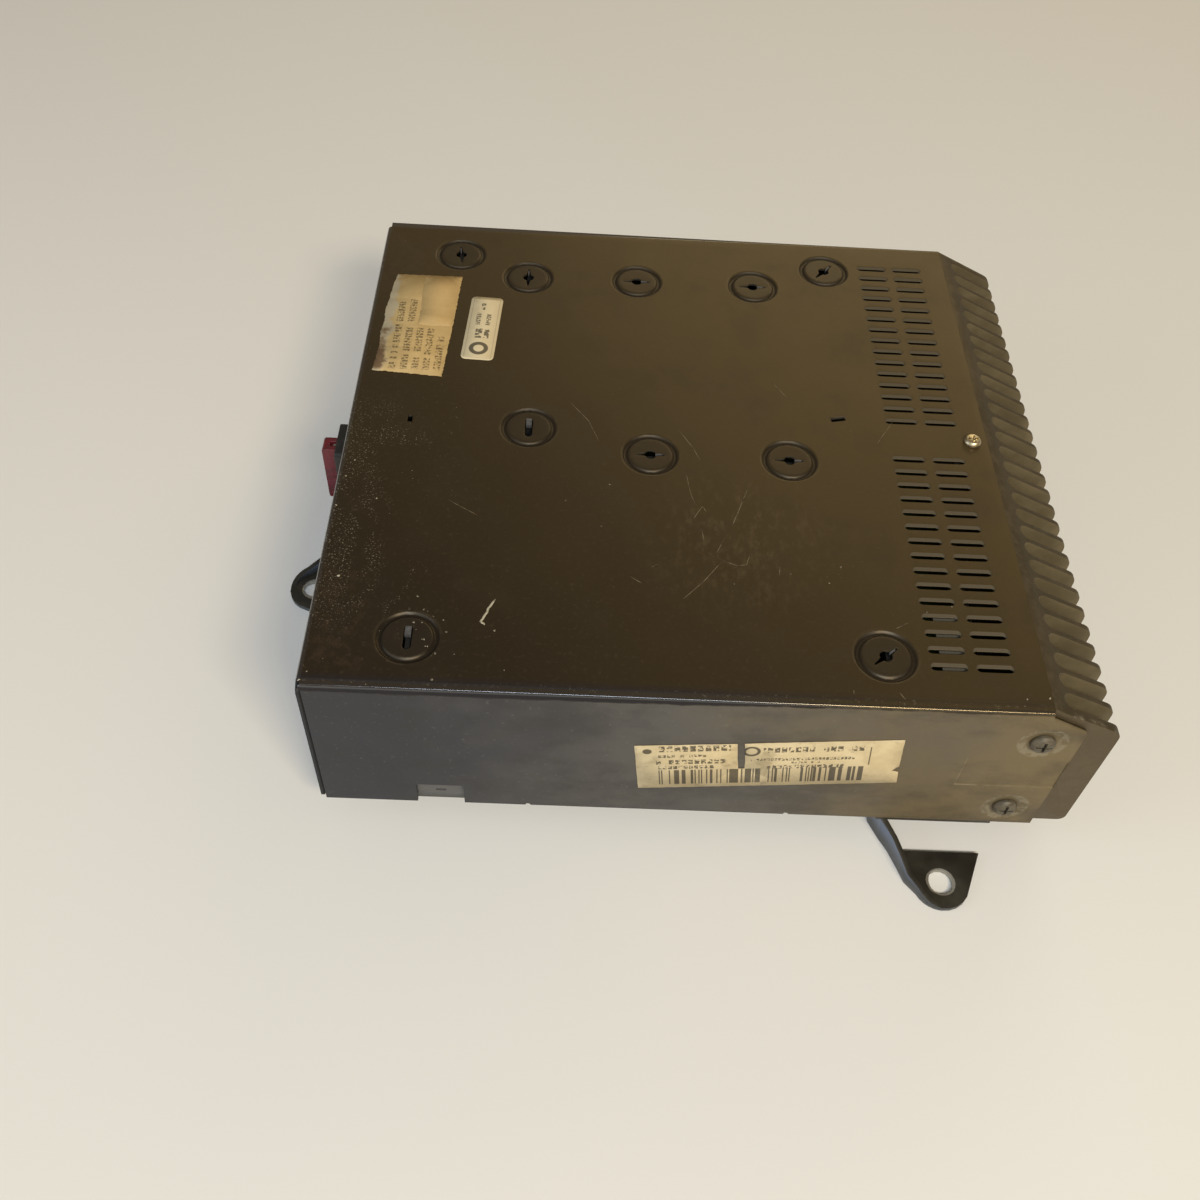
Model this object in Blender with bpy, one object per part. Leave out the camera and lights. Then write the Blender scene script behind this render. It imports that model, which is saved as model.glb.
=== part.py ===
"""Car amplifier: a flat sheet-steel case with a finned die-cast heat sink along its right side,
plug sockets and a pull-out blade fuse on its left side, and a three-eared mounting bracket below.

Lengths are in millimetres in case coordinates: x runs right from the case's left edge, y runs back
from its front face, z runs up from its top panel. part_point() turns them into the part's own frame,
whose origin is at the middle of the bounding box's bottom, in metres.
"""
import math

import bmesh
import bpy
from mathutils import Matrix, Vector

MM = 0.001

# ---- driving dimensions ------------------------------------------------------------------------------
CASE_WIDTH = 177.0            # left edge to the heat sink's top edge
CASE_DEPTH = 180.0
CASE_HEIGHT = 51.6            # top panel to the underside of the tray
SINK_OUTER_X = 196.5          # the heat sink's vertical outer side
SHEET = 1.0                   # cover steel
TRAY_SHEET = 1.2              # tray steel
BRACKET_SHEET = 1.4           # bracket steel
GAP = 0.3                     # between pieces that rest on each other
SKIN_GAP = 0.1                # under screw heads and labels
BEND = 2.2                    # outer bend radius of the cover

FLANGE_RIGHT_X = 187.2        # the cover's end flanges reach over the heat sink's end plates
FLANGE_BOTTOM_Z = -51.5
FLANGE_SLOPE = (-2.1, -7.7)   # their right edge slopes from the top panel's edge down to their outer edge
SIDE_BOTTOM_Z = -50.0         # the left flange stops a little higher
SOCKET_BAY = (22.0, 158.0)    # open stretch of the left flange, where plugs go in
SOCKET_BAY_TOP_Z = -5.0
CORNER_SLIT = 0.45            # parts the end flanges from the left one, which are bent separately
NOTCH_X = (25.1, 37.3)        # shows the tray's flange, in the front flange's lower edge
NOTCH_TOP_Z = -43.0
NICKS_X = (53.9, 121.9)       # small cuts in the same edge
NICK_HALF = 0.7
PRESSED_RECTANGLE = ((162.0, -33.0), (FLANGE_RIGHT_X + 1.0, -21.0))
PRESSED_DEPTH = 0.25

EAR_DROP = 8.4                # tray underside down to the ears' top face
EAR_TOP_Z = -CASE_HEIGHT - EAR_DROP
EAR_BOTTOM_Z = EAR_TOP_Z - BRACKET_SHEET
EAR_HOLE_R = 3.2              # clearance for an M6 bolt
EAR_HOLE_LONG = 0.8           # the hole is this much longer than wide
EAR_TIP_R = 7.5
FRONT_EAR = (163.4, -13.8)    # hole centre; the rear ear mirrors it
LEFT_EAR = (-15.0, 76.5)
LEFT_EXTENT_X = LEFT_EAR[0] - EAR_TIP_R

CENTRE_X = (LEFT_EXTENT_X + SINK_OUTER_X) / 2
CENTRE_Y = CASE_DEPTH / 2

# ---- vents, lock-tab discs and fasteners -------------------------------------------------------------
VENT_PITCH = 5.0
VENT_WIDTH = 1.8
VENT_COLUMNS = ((149.5, 158.3), (160.6, 169.5))
VENT_ROWS_PER_BANK = 15
VENT_FIRST_ROW = 12.5         # distance of each bank's outermost row from the nearer end

DISC_OUTER_R = 7.6
DISC_INNER_R = 6.5
DISC_GROOVE = 0.5
SLIT = (7.4, 1.0)             # length and width of a slit, which widens to an eye in its middle
EYE_R = 1.4
WIDE_SLOT = (7.4, 2.2)        # length and width of a slot whose far end is filled by a broad lug
SLIT_LUG = (1.8, 0.4, 0.1)    # a lug's length along its slot, its thickness and its rise above the top
BROAD_LUG = (2.6, 1.5, 0.4)
LUG_OFFSET = {SLIT_LUG: 2.2, BROAD_LUG: 1.7}
# name: (x, y, direction of the slot in degrees from +x, lug)
DISCS = {
    "left_rear": (24.5, 165.0, 98.0, SLIT_LUG),
    "left_front": (24.5, 15.0, 90.0, BROAD_LUG),
    "shield_left_rear": (46.0, 155.0, 90.0, SLIT_LUG),
    "shield_rear_1": (79.5, 155.5, 0.0, SLIT_LUG),
    "shield_rear_2": (115.5, 155.5, 0.0, SLIT_LUG),
    "shield_left_front": (49.5, 88.5, 90.0, BROAD_LUG),
    "shield_front_1": (83.0, 80.0, 0.0, SLIT_LUG),
    "shield_front_2": (121.0, 80.0, 0.0, SLIT_LUG),
    "right_rear": (138.5, 165.0, 50.0, SLIT_LUG),
    "right_front": (139.0, 15.0, 40.0, SLIT_LUG),
}

END_SCREW_X = 178.0
END_SCREW_Z = (-12.7, -43.4)
TOP_SCREW = (172.8, 90.0)
SCREW_SHAFT_R = 1.4
SCREW_HOLE_R = 1.7
DIMPLE_FLOOR_R = 3.7
DIMPLE_R = 6.2
DIMPLE_DEPTH = 0.6

# ---- heat sink ---------------------------------------------------------------------------------------
SINK_WALL = (174.0, 181.0)    # the solid wall between the case and the fins
FIN_PITCH = 6.0
GROOVE_WIDTH = 4.4
GROOVE_COUNT = 29
SINK_FOOT_X = 160.0           # a foot under the board carries the bracket screws
SINK_FOOT_Y = (12.0, 168.0)
SINK_BOTTOM_Z = -51.4
SINK_CORNER_R = (3.5, 2.0)    # upper and lower outer corners of every fin
SINK_CORNER_Z = -11.6         # centre height of the upper ones

# ---- board and what stands on it ---------------------------------------------------------------------
BOARD_TOP_Z = -42.4
BOARD_THICK = 1.6
BOARD = ((6.0, 6.0), (173.0, 174.0))
ON_BOARD_Z = BOARD_TOP_Z + GAP
UNDER_COVER_Z = -SHEET - 0.4
TRAY_FLOOR_Z = -CASE_HEIGHT + TRAY_SHEET
PCB_SCREWS = ((12.0, 24.0), (12.0, 156.0), (132.0, 24.0), (132.0, 156.0))
BRACKET_SCREWS = ((168.0, 25.0), (168.0, 155.0))
BRACKET_RIVETS = ((20.0, 76.5), (110.0, 76.5))
IC_ROWS = (48.0, 76.0, 104.0, 132.0)
CLAMP_SCREW_ROWS = (62.0, 118.0)
CLAMP_Z = -20.0
CLAMP_BAR_X = (SINK_WALL[0] - 6.8, SINK_WALL[0] - 5.5)
FRAME_SHEET = 1.2
CARD = ((152.6, 9.0), (159.4, 30.5))   # insulating card glued under the front vents of the left column
CARD_THICK = 0.5

# ---- fuse, a standard blade type ---------------------------------------------------------------------
FUSE_WIDTH = 19.1             # along z
FUSE_THICK = 5.1              # along y
FUSE_BODY = 12.4              # along x
FUSE_TIP_X = -8.3
FUSE_Y = 88.9
FUSE_Z = -19.5
BLADE_WIDTH = 5.2
BLADE_THICK = 0.65
BLADE_LENGTH = 6.2
BLADE_SPREAD = 6.6            # each blade's middle from the fuse's middle
HOLDER_FACE_X = -4.0
HOLDER_HALF_Y = 6.6
HOLDER_HALF_Z = 11.6
HOLDER_DEPTH = 17.0


# ---- frame and materials -----------------------------------------------------------------------------
def part_point(x, y, z):
    """Case coordinates in millimetres to the part's frame in metres."""
    return Vector((x - CENTRE_X, y - CENTRE_Y, z - EAR_BOTTOM_Z)) * MM


def clear_scene():
    for old in list(bpy.data.objects):
        bpy.data.objects.remove(old)


def make_material(name, colour, roughness, metallic=0.0):
    material = bpy.data.materials.new(name)
    material.use_nodes = True
    shader = material.node_tree.nodes["Principled BSDF"]
    shader.inputs["Base Color"].default_value = (*colour, 1.0)
    shader.inputs["Roughness"].default_value = roughness
    shader.inputs["Metallic"].default_value = metallic
    return material


# ---- shapes ------------------------------------------------------------------------------------------
def add_prism(bm, outline, axis, low, high):
    """Extrude a closed outline along an axis. The outline's two coordinates are the other axes in order."""
    place = {
        "X": lambda a, b, c: (c, a, b),
        "Y": lambda a, b, c: (a, c, b),
        "Z": lambda a, b, c: (a, b, c),
    }[axis]
    base = [bm.verts.new(place(a, b, low)) for a, b in outline]
    face = bm.faces.new(base)
    grown = bmesh.ops.extrude_face_region(bm, geom=[face])
    moved = [item for item in grown["geom"] if isinstance(item, bmesh.types.BMVert)]
    bmesh.ops.translate(bm, verts=moved, vec=Vector(place(0.0, 0.0, high - low)))
    return moved + base


def add_block(bm, low, high):
    """A box between two corners."""
    return add_prism(bm, [(low[0], low[1]), (high[0], low[1]), (high[0], high[1]), (low[0], high[1])],
                     "Z", low[2], high[2])


def add_turned(bm, profile, segments, centre=(0.0, 0.0, 0.0), axis="Z"):
    """Turn a closed profile of (radius, height) points round an axis through centre."""
    turn = {"Z": Matrix(), "Y": Matrix.Rotation(math.radians(90), 3, "X").to_4x4(),
            "X": Matrix.Rotation(math.radians(90), 3, "Y").to_4x4()}[axis]
    rings = []
    for radius, height in profile:
        if radius == 0.0:
            rings.append([bm.verts.new((0.0, 0.0, height))])
            continue
        angles = [2 * math.pi * step / segments for step in range(segments)]
        rings.append([bm.verts.new((radius * math.cos(a), radius * math.sin(a), height)) for a in angles])
    pairs = list(zip(rings, rings[1:]))
    if profile[0][0] > 0.0:
        pairs.append((rings[-1], rings[0]))
    for lower, upper in pairs:
        for step in range(segments):
            after = (step + 1) % segments
            corners = [lower[step % len(lower)], lower[after % len(lower)],
                       upper[after % len(upper)], upper[step % len(upper)]]
            unique = list(dict.fromkeys(corners))
            if len(unique) > 2:
                bm.faces.new(unique)
    moved = [vert for ring in rings for vert in ring]
    bmesh.ops.transform(bm, matrix=Matrix.Translation(centre) @ turn, verts=moved)
    return moved


def arc(centre_x, centre_y, radius, start, end, steps):
    """Points on an arc, angles in degrees, both ends included."""
    points = []
    for step in range(steps + 1):
        angle = math.radians(start + (end - start) * step / steps)
        points.append((centre_x + radius * math.cos(angle), centre_y + radius * math.sin(angle)))
    return points


def slot_outline(x, y, length, width, degrees=0.0, steps=3):
    """A slot with round ends, centred at x, y."""
    reach = (length - width) / 2
    turn = math.radians(degrees)
    ends = arc(reach, 0.0, width / 2, -90, 90, steps) + arc(-reach, 0.0, width / 2, 90, 270, steps)
    return [(x + a * math.cos(turn) - b * math.sin(turn), y + a * math.sin(turn) + b * math.cos(turn))
            for a, b in ends]


def rounded_box(low, high, radius, steps=3):
    """A rectangle's outline with four round corners."""
    (x0, y0), (x1, y1) = low, high
    return (arc(x1 - radius, y0 + radius, radius, -90, 0, steps)
            + arc(x1 - radius, y1 - radius, radius, 0, 90, steps)
            + arc(x0 + radius, y1 - radius, radius, 90, 180, steps)
            + arc(x0 + radius, y0 + radius, radius, 180, 270, steps))


def turned_rectangle(x, y, length, width, degrees):
    """A rectangle's outline centred at x, y with its length turned from +x."""
    turn = math.radians(degrees)
    corners = ((-length / 2, -width / 2), (length / 2, -width / 2),
               (length / 2, width / 2), (-length / 2, width / 2))
    return [(x + a * math.cos(turn) - b * math.sin(turn), y + a * math.sin(turn) + b * math.cos(turn))
            for a, b in corners]


def mirror_back(bm, verts):
    """Mirror verts about the case's middle plane, front to back."""
    bmesh.ops.scale(bm, vec=(1.0, -1.0, 1.0), verts=verts, space=Matrix.Translation((0.0, -CENTRE_Y, 0.0)))


# ---- objects -----------------------------------------------------------------------------------------
def make_object(name, draw, anchor=(0.0, 0.0, 0.0)):
    """Draw a mesh in case coordinates and place it with its origin at the anchor."""
    bm = bmesh.new()
    draw(bm)
    bmesh.ops.recalc_face_normals(bm, faces=bm.faces)
    bmesh.ops.transform(bm, matrix=Matrix.Scale(MM, 4) @ Matrix.Translation(-Vector(anchor)), verts=bm.verts)
    mesh = bpy.data.meshes.new(name)
    bm.to_mesh(mesh)
    bm.free()
    made = bpy.data.objects.new(name, mesh)
    made.location = part_point(*anchor)
    bpy.context.collection.objects.link(made)
    return made


def combine(target, name, draw, operation):
    """Join a shape to the target, or cut it out, with a hidden tool object."""
    tool = make_object(name, draw)
    tool.hide_render = True
    tool.display_type = "WIRE"
    modifier = target.modifiers.new(name, "BOOLEAN")
    modifier.operation = operation
    modifier.solver = "EXACT"
    modifier.object = tool


def make_piece(name, material, draw, add=(), cut=(), anchor=(0.0, 0.0, 0.0)):
    """One sub-part: a base shape, shapes joined to it, then shapes cut from it."""
    piece = make_object(name, draw, anchor)
    piece.data.materials.append(material)
    for number, shape in enumerate(add):
        combine(piece, f"{name}_join_{number}", shape, "UNION")
    for number, shape in enumerate(cut):
        combine(piece, f"{name}_cut_{number}", shape, "DIFFERENCE")
    piece.data.shade_smooth()
    piece.data.set_sharp_from_angle(angle=math.radians(35))
    return piece


# ---- top cover ---------------------------------------------------------------------------------------
THROUGH_TOP = (-3.0, 2.0)     # height range of a cutter that goes through the top panel


def vent_rows():
    """The y of every vent row: two banks, mirrored about the middle."""
    for row in range(VENT_ROWS_PER_BANK):
        offset = VENT_FIRST_ROW + row * VENT_PITCH
        yield offset
        yield CASE_DEPTH - offset


def cover_shell(bm):
    top = arc(BEND, -BEND, BEND, 180, 90, 4) + arc(CASE_DEPTH - BEND, -BEND, BEND, 90, 0, 4)
    add_prism(bm, [(0.0, FLANGE_BOTTOM_Z)] + top + [(CASE_DEPTH, FLANGE_BOTTOM_Z)], "X", 0.0, FLANGE_RIGHT_X)


def cover_hollow(bm):
    inner = BEND - SHEET
    back = CASE_DEPTH - SHEET
    below, right = FLANGE_BOTTOM_Z - 8.0, FLANGE_RIGHT_X + 12.0
    top = (arc(SHEET + inner, -BEND, inner, 180, 90, 3) + arc(back - inner, -BEND, inner, 90, 0, 3))
    add_prism(bm, [(SHEET, below)] + top + [(back, below)], "X", SHEET, right)


def cover_right_edge(bm):
    """The top panel ends at the heat sink, and the flanges slope down over its end plates."""
    start_z, end_z = FLANGE_SLOPE
    right = FLANGE_RIGHT_X + 12.0
    outline = [(CASE_WIDTH, 1.0), (CASE_WIDTH, start_z), (FLANGE_RIGHT_X + 0.2, end_z), (right, end_z),
               (right, 1.0)]
    add_prism(bm, outline, "Y", -5.0, CASE_DEPTH + 5.0)


def cover_left_side(bm):
    """The left flange's lower edge and the bay in it for the plugs."""
    front, back = SOCKET_BAY
    below, past = FLANGE_BOTTOM_Z - 8.0, CASE_DEPTH + 2.0
    outline = [(-2.0, below), (past, below), (past, SIDE_BOTTOM_Z), (back, SIDE_BOTTOM_Z),
               (back, SOCKET_BAY_TOP_Z), (front, SOCKET_BAY_TOP_Z),
               (front, SIDE_BOTTOM_Z), (-2.0, SIDE_BOTTOM_Z)]
    add_prism(bm, outline, "X", -1.0, SHEET + 0.4)


def cover_corner_slits(bm):
    for y0, y1 in ((-1.0, SHEET + 0.2), (CASE_DEPTH - SHEET - 0.2, CASE_DEPTH + 1.0)):
        add_block(bm, (SHEET + 0.02, y0, SIDE_BOTTOM_Z + 1.0), (SHEET + CORNER_SLIT, y1, -BEND - 0.1))


def cover_vents(bm):
    for row in vent_rows():
        for left, right in VENT_COLUMNS:
            add_prism(bm, slot_outline((left + right) / 2, row, right - left, VENT_WIDTH), "Z", *THROUGH_TOP)


def cover_disc_grooves(bm):
    for x, y, _, _ in DISCS.values():
        ring = [(DISC_INNER_R, -DISC_GROOVE), (DISC_OUTER_R - 0.2, -DISC_GROOVE),
                (DISC_OUTER_R, 1.0), (DISC_INNER_R - 0.2, 1.0)]
        add_turned(bm, ring, 20, (x, y, 0.0))


def cover_lug_slots(bm):
    for x, y, degrees, lug in DISCS.values():
        size = SLIT if lug is SLIT_LUG else WIDE_SLOT
        add_prism(bm, slot_outline(x, y, *size, degrees), "Z", *THROUGH_TOP)


def cover_slit_eyes(bm):
    """Each slit widens to a diamond in its middle."""
    for x, y, degrees, lug in DISCS.values():
        if lug is SLIT_LUG:
            diamond = [(x, y - EYE_R), (x + EYE_R, y), (x, y + EYE_R), (x - EYE_R, y)]
            add_prism(bm, diamond, "Z", THROUGH_TOP[0] - 0.5, THROUGH_TOP[1] + 0.5)


def cover_holes(bm):
    """Two locating holes, the screw holes, and the notch and nicks in the front flange."""
    add_prism(bm, turned_rectangle(16.8, 90.0, 2.4, 1.2, 90.0), "Z", *THROUGH_TOP)
    add_prism(bm, turned_rectangle(136.0, 97.3, 4.0, 1.5, 12.0), "Z", *THROUGH_TOP)
    add_prism(bm, arc(*TOP_SCREW, SCREW_HOLE_R, 0, 337.5, 15), "Z", *THROUGH_TOP)
    for z in END_SCREW_Z:
        add_prism(bm, arc(END_SCREW_X, z, SCREW_HOLE_R, 0, 337.5, 15), "Y", -3.0, CASE_DEPTH + 3.0)
    (left, right), top, below = NOTCH_X, NOTCH_TOP_Z, FLANGE_BOTTOM_Z - 3.0
    notch = [(left, below), (right, below), (right, top - 0.4), (right - 0.4, top), (left + 0.4, top),
             (left, top - 0.4)]
    add_prism(bm, notch, "Y", -2.0, SHEET + 0.2)
    for x in NICKS_X:
        add_block(bm, (x - NICK_HALF, -2.0, below), (x + NICK_HALF, SHEET + 0.2, FLANGE_BOTTOM_Z + NICK_HALF))


def cover_dimples(bm):
    """Shallow dishes round the end screws, and the pressed rectangle between the front ones."""
    dish = [(0.0, 0.0), (DIMPLE_FLOOR_R, 0.0), (DIMPLE_R, DIMPLE_DEPTH - 0.02), (DIMPLE_R, 1.4), (0.0, 1.4)]
    for z in END_SCREW_Z:
        add_turned(bm, dish, 16, (END_SCREW_X, DIMPLE_DEPTH, z), "Y")
        mirror_back(bm, add_turned(bm, dish, 16, (END_SCREW_X, DIMPLE_DEPTH, z), "Y"))
    (x0, z0), (x1, z1) = PRESSED_RECTANGLE
    add_block(bm, (x0, -1.0, z0), (x1, PRESSED_DEPTH, z1))


def make_cover(paint):
    make_piece("top_cover", paint, cover_shell,
               cut=(cover_hollow, cover_right_edge, cover_left_side, cover_corner_slits, cover_vents,
                    cover_disc_grooves, cover_lug_slots, cover_slit_eyes, cover_holes, cover_dimples))


# ---- base tray ---------------------------------------------------------------------------------------
def make_tray(paint):
    inset = SHEET + 0.4
    inner = inset + TRAY_SHEET
    right = SINK_WALL[0] - 0.4
    flange_top = -36.0

    def floor(bm):
        add_block(bm, (inset, inset, -CASE_HEIGHT), (right, CASE_DEPTH - inset, TRAY_FLOOR_Z))

    def left_wall(bm):
        add_block(bm, (inset, inset, -CASE_HEIGHT + 0.3), (inner, CASE_DEPTH - inset, UNDER_COVER_Z - 0.6))

    def end_flanges(bm):
        for y in (inset, CASE_DEPTH - inner):
            add_block(bm, (inset + 0.3, y, -CASE_HEIGHT + 0.2), (right - 3.0, y + TRAY_SHEET, flange_top))

    def socket_windows(bm):
        for low_y, high_y, low_z, high_z in socket_windows_list():
            add_block(bm, (inset - 1.0, low_y, low_z), (inner + 1.0, high_y, high_z))

    def floor_holes(bm):
        for x, y in PCB_SCREWS + BRACKET_SCREWS + BRACKET_RIVETS:
            add_prism(bm, arc(x, y, SCREW_HOLE_R, 0, 330, 11), "Z", -CASE_HEIGHT - 1.0, TRAY_FLOOR_Z + 1.0)

    def tool_slot(bm):
        """A slot in the front flange, which the notch in the cover shows."""
        add_block(bm, (29.9, inset - 1.0, -48.2), (32.5, inner + 1.0, -47.2))

    def flange_ends(bm):
        """The end flanges stop low beside the heat sink's foot."""
        for y in (inset - 1.0, CASE_DEPTH - inner - 1.0):
            add_block(bm, (SINK_FOOT_X - 0.5, y, -47.0),
                      (right + 1.0, y + TRAY_SHEET + 2.0, flange_top + 1.0))

    make_piece("base_tray", paint, floor, add=(left_wall, end_flanges),
               cut=(socket_windows, floor_holes, tool_slot, flange_ends))


# ---- heat sink ---------------------------------------------------------------------------------------
def make_heat_sink(black):
    end_gap = SHEET + GAP
    wall_in, wall_out = SINK_WALL

    def outer_block(bm):
        under, edge_x = UNDER_COVER_Z - 0.4, CASE_WIDTH + GAP
        upper_r, lower_r = SINK_CORNER_R
        outline = ([(wall_in, under), (edge_x, under), (edge_x, -0.2)]
                   + arc(SINK_OUTER_X - upper_r, SINK_CORNER_Z, upper_r, 66, 0, 4)
                   + arc(SINK_OUTER_X - lower_r, SINK_BOTTOM_Z + lower_r, lower_r, 0, -90, 5)
                   + [(wall_in, SINK_BOTTOM_Z)])
        add_prism(bm, outline, "Y", end_gap, CASE_DEPTH - end_gap)

    def foot(bm):
        add_block(bm, (SINK_FOOT_X, SINK_FOOT_Y[0], TRAY_FLOOR_Z + GAP),
                  (wall_in + 1.0, SINK_FOOT_Y[1], -47.1))

    def top_boss(bm):
        x, y = TOP_SCREW
        add_block(bm, (x - 4.5, y - 4.5, -13.0), (wall_in + 1.0, y + 4.5, UNDER_COVER_Z - 0.1))

    def grooves(bm):
        radius, outside = GROOVE_WIDTH / 2, SINK_OUTER_X + 3.0
        for index in range(GROOVE_COUNT):
            y = FIN_PITCH * (index + 1)
            inner_end = arc(wall_out + radius, y, radius, 270, 90, 5)
            add_prism(bm, inner_end + [(outside, y + radius), (outside, y - radius)], "Z",
                      SINK_BOTTOM_Z - 5.0, 5.0)

    def screw_holes(bm):
        for z in END_SCREW_Z:
            for y0, y1 in ((0.0, 13.0), (CASE_DEPTH - 13.0, CASE_DEPTH)):
                add_prism(bm, arc(END_SCREW_X, z, SCREW_HOLE_R, 0, 330, 11), "Y", y0, y1)
        add_prism(bm, arc(*TOP_SCREW, SCREW_HOLE_R, 0, 330, 11), "Z", -11.0, 1.0)
        for x, y in BRACKET_SCREWS:
            add_prism(bm, arc(x, y, SCREW_HOLE_R, 0, 330, 11), "Z", -55.0, -45.0)
        for y in CLAMP_SCREW_ROWS:
            add_prism(bm, arc(y, CLAMP_Z, SCREW_HOLE_R, 0, 330, 11), "X", wall_in - 2.0, wall_in + 5.0)

    make_piece("heat_sink", black, outer_block, add=(foot, top_boss), cut=(grooves, screw_holes))


# ---- mounting bracket --------------------------------------------------------------------------------
def ear_outline(centre, flare):
    """A tongue round the hole, seen with its tip towards -y and its web on the left."""
    x, y = centre
    tip = arc(x, y, EAR_TIP_R, 200, 345, 9)
    return [(x - flare, y + 8.8)] + [(x - 9.6, y + 0.5)] + tip + [(x + 11.6, y + 8.8)]


def web_path(centre):
    """The web's outer foot line, from under the case round to the ear's tip."""
    x, y = centre
    flank = [(x - 17.1, y + 17.9), (x - 14.9, y + 13.0), (x - 12.8, y + 9.1), (x - 11.0, y + 4.4),
             (x - 9.6, y + 0.2)]
    return flank + arc(x, y, EAR_TIP_R, 205, 262, 5)


def add_web(bm, path, start_top, end_top, flat):
    """A standing strip along a path, sheet thick, whose top edge falls from the case to the ear's tip."""
    lengths = [0.0]
    for before, after in zip(path, path[1:]):
        lengths.append(lengths[-1] + math.dist(before, after))
    sections = []
    for index, (x, y) in enumerate(path):
        before = path[max(index - 1, 0)]
        after = path[min(index + 1, len(path) - 1)]
        run = Vector((after[0] - before[0], after[1] - before[1])).normalized()
        inward = Vector((-run.y, run.x)) * BRACKET_SHEET
        fall = max(lengths[index] - flat, 0.0) / (lengths[-1] - flat)
        top = start_top + (end_top - start_top) * fall
        inner = (x + inward.x, y + inward.y)
        sections.append([bm.verts.new((x, y, EAR_BOTTOM_Z)), bm.verts.new((*inner, EAR_BOTTOM_Z)),
                         bm.verts.new((*inner, top)), bm.verts.new((x, y, top))])
    for first, second in zip(sections, sections[1:]):
        for side in range(4):
            after = (side + 1) % 4
            bm.faces.new((first[side], first[after], second[after], second[side]))
    bm.faces.new(sections[0])
    bm.faces.new(sections[-1][::-1])
    return [vert for section in sections for vert in section]


def turn_to_left(bm, verts):
    """Turn a front-pointing ear to point left, onto the left ear's hole."""
    pivot = Vector((*LEFT_EAR, 0.0))
    spin = Matrix.Translation(pivot) @ Matrix.Rotation(math.radians(-90), 4, "Z") @ Matrix.Translation(-pivot)
    bmesh.ops.transform(bm, matrix=spin, verts=verts)


def make_bracket(paint):
    plate_top = -CASE_HEIGHT - GAP
    plate_bottom = plate_top - BRACKET_SHEET
    strap_x = (FRONT_EAR[0] - 17.1, 177.0)
    web_start_top = plate_bottom + 0.6
    tip_top = EAR_TOP_Z + 0.1

    def main_strap(bm):
        add_block(bm, (strap_x[0], 0.5, plate_bottom), (strap_x[1], CASE_DEPTH - 0.5, plate_top))

    def side_strap(bm):
        add_block(bm, (-0.5, 64.0, plate_bottom + 0.02), (strap_x[0] + 5.0, 92.0, plate_top - 0.02))

    def place_ears(bm, draw):
        """Draw the same shape at the front, rear and left ears."""
        draw(bm, FRONT_EAR)
        mirror_back(bm, draw(bm, FRONT_EAR))
        turn_to_left(bm, draw(bm, LEFT_EAR))

    def ears(bm):
        def draw(mesh, centre):
            return add_prism(mesh, ear_outline(centre, 10.3), "Z", EAR_BOTTOM_Z, EAR_TOP_Z)
        place_ears(bm, draw)

    def webs(bm):
        def draw(mesh, centre):
            x, y = centre
            rest = [(x - 17.1, y + 40.0)] + web_path(centre)
            return add_web(mesh, rest, web_start_top, tip_top, 26.0)
        place_ears(bm, draw)

    def ear_holes(bm):
        def draw(mesh, centre):
            outline = slot_outline(*centre, 2 * EAR_HOLE_R + EAR_HOLE_LONG, 2 * EAR_HOLE_R, 90.0, 7)
            return add_prism(mesh, outline, "Z", EAR_BOTTOM_Z - 2.0, EAR_TOP_Z + 2.0)
        place_ears(bm, draw)

    def fastener_holes(bm):
        for x, y in BRACKET_SCREWS + BRACKET_RIVETS:
            add_prism(bm, arc(x, y, SCREW_HOLE_R, 0, 330, 11), "Z", plate_bottom - 1.0, plate_top + 1.0)

    make_piece("mounting_bracket", paint, main_strap, add=(side_strap, webs, ears),
               cut=(ear_holes, fastener_holes))


# ---- fasteners ---------------------------------------------------------------------------------------
def make_screw(name, material, point, direction, head_r=3.1, head_high=2.0, shaft=10.0, segments=16):
    """A pan-head screw whose head's bearing face is at the point and whose head points out.

    The inner screws have fewer sides, and a slot in place of the cross recess.
    """
    def body(bm):
        crown = [(head_r, 0.0), (head_r, head_high * 0.45), (head_r * 0.8, head_high * 0.86),
                 (head_r * 0.45, head_high), (0.0, head_high)]
        profile = [(0.0, -shaft), (SCREW_SHAFT_R * 0.7, -shaft), (SCREW_SHAFT_R, -shaft + 0.8),
                   (SCREW_SHAFT_R, 0.0)] + crown
        add_turned(bm, profile, segments)

    def slot(bm):
        add_block(bm, (-head_r - 1.0, -0.4, head_high * 0.5), (head_r + 1.0, 0.4, head_high + 1.0))

    def cross(bm):
        arm, half, deep = head_r * 0.62, 0.35, head_high * 0.45
        add_prism(bm, [(-arm, -half), (-half, -half), (-half, -arm), (half, -arm), (half, -half),
                       (arm, -half),
                       (arm, half), (half, half), (half, arm), (-half, arm), (-half, half), (-arm, half)],
                  "Z", deep, head_high + 1.0)

    screw = make_piece(name, material, body, cut=(cross if segments > 12 else slot,))
    aim = Vector((0.0, 0.0, 1.0)).rotation_difference(Vector(direction)).to_matrix().to_4x4()
    place = Matrix.Translation(part_point(*point)) @ aim
    tool = screw.modifiers[0].object
    for each in (screw, tool):
        each.matrix_world = place


def make_rivet(name, material, x, y):
    """A rivet through the tray and the bracket, with a dome above and below."""
    top, bottom = TRAY_FLOOR_Z + SKIN_GAP, -CASE_HEIGHT - GAP - BRACKET_SHEET - SKIN_GAP
    profile = [(0.0, bottom - 1.1), (1.6, bottom - 1.0), (2.9, bottom - 0.4), (2.9, bottom),
               (SCREW_SHAFT_R, bottom), (SCREW_SHAFT_R, top),
               (2.6, top), (2.6, top + 0.4), (1.4, top + 0.9), (0.0, top + 1.0)]
    make_piece(name, material, lambda bm: add_turned(bm, profile, 12, (x, y, 0.0)), anchor=(x, y, bottom))


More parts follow.
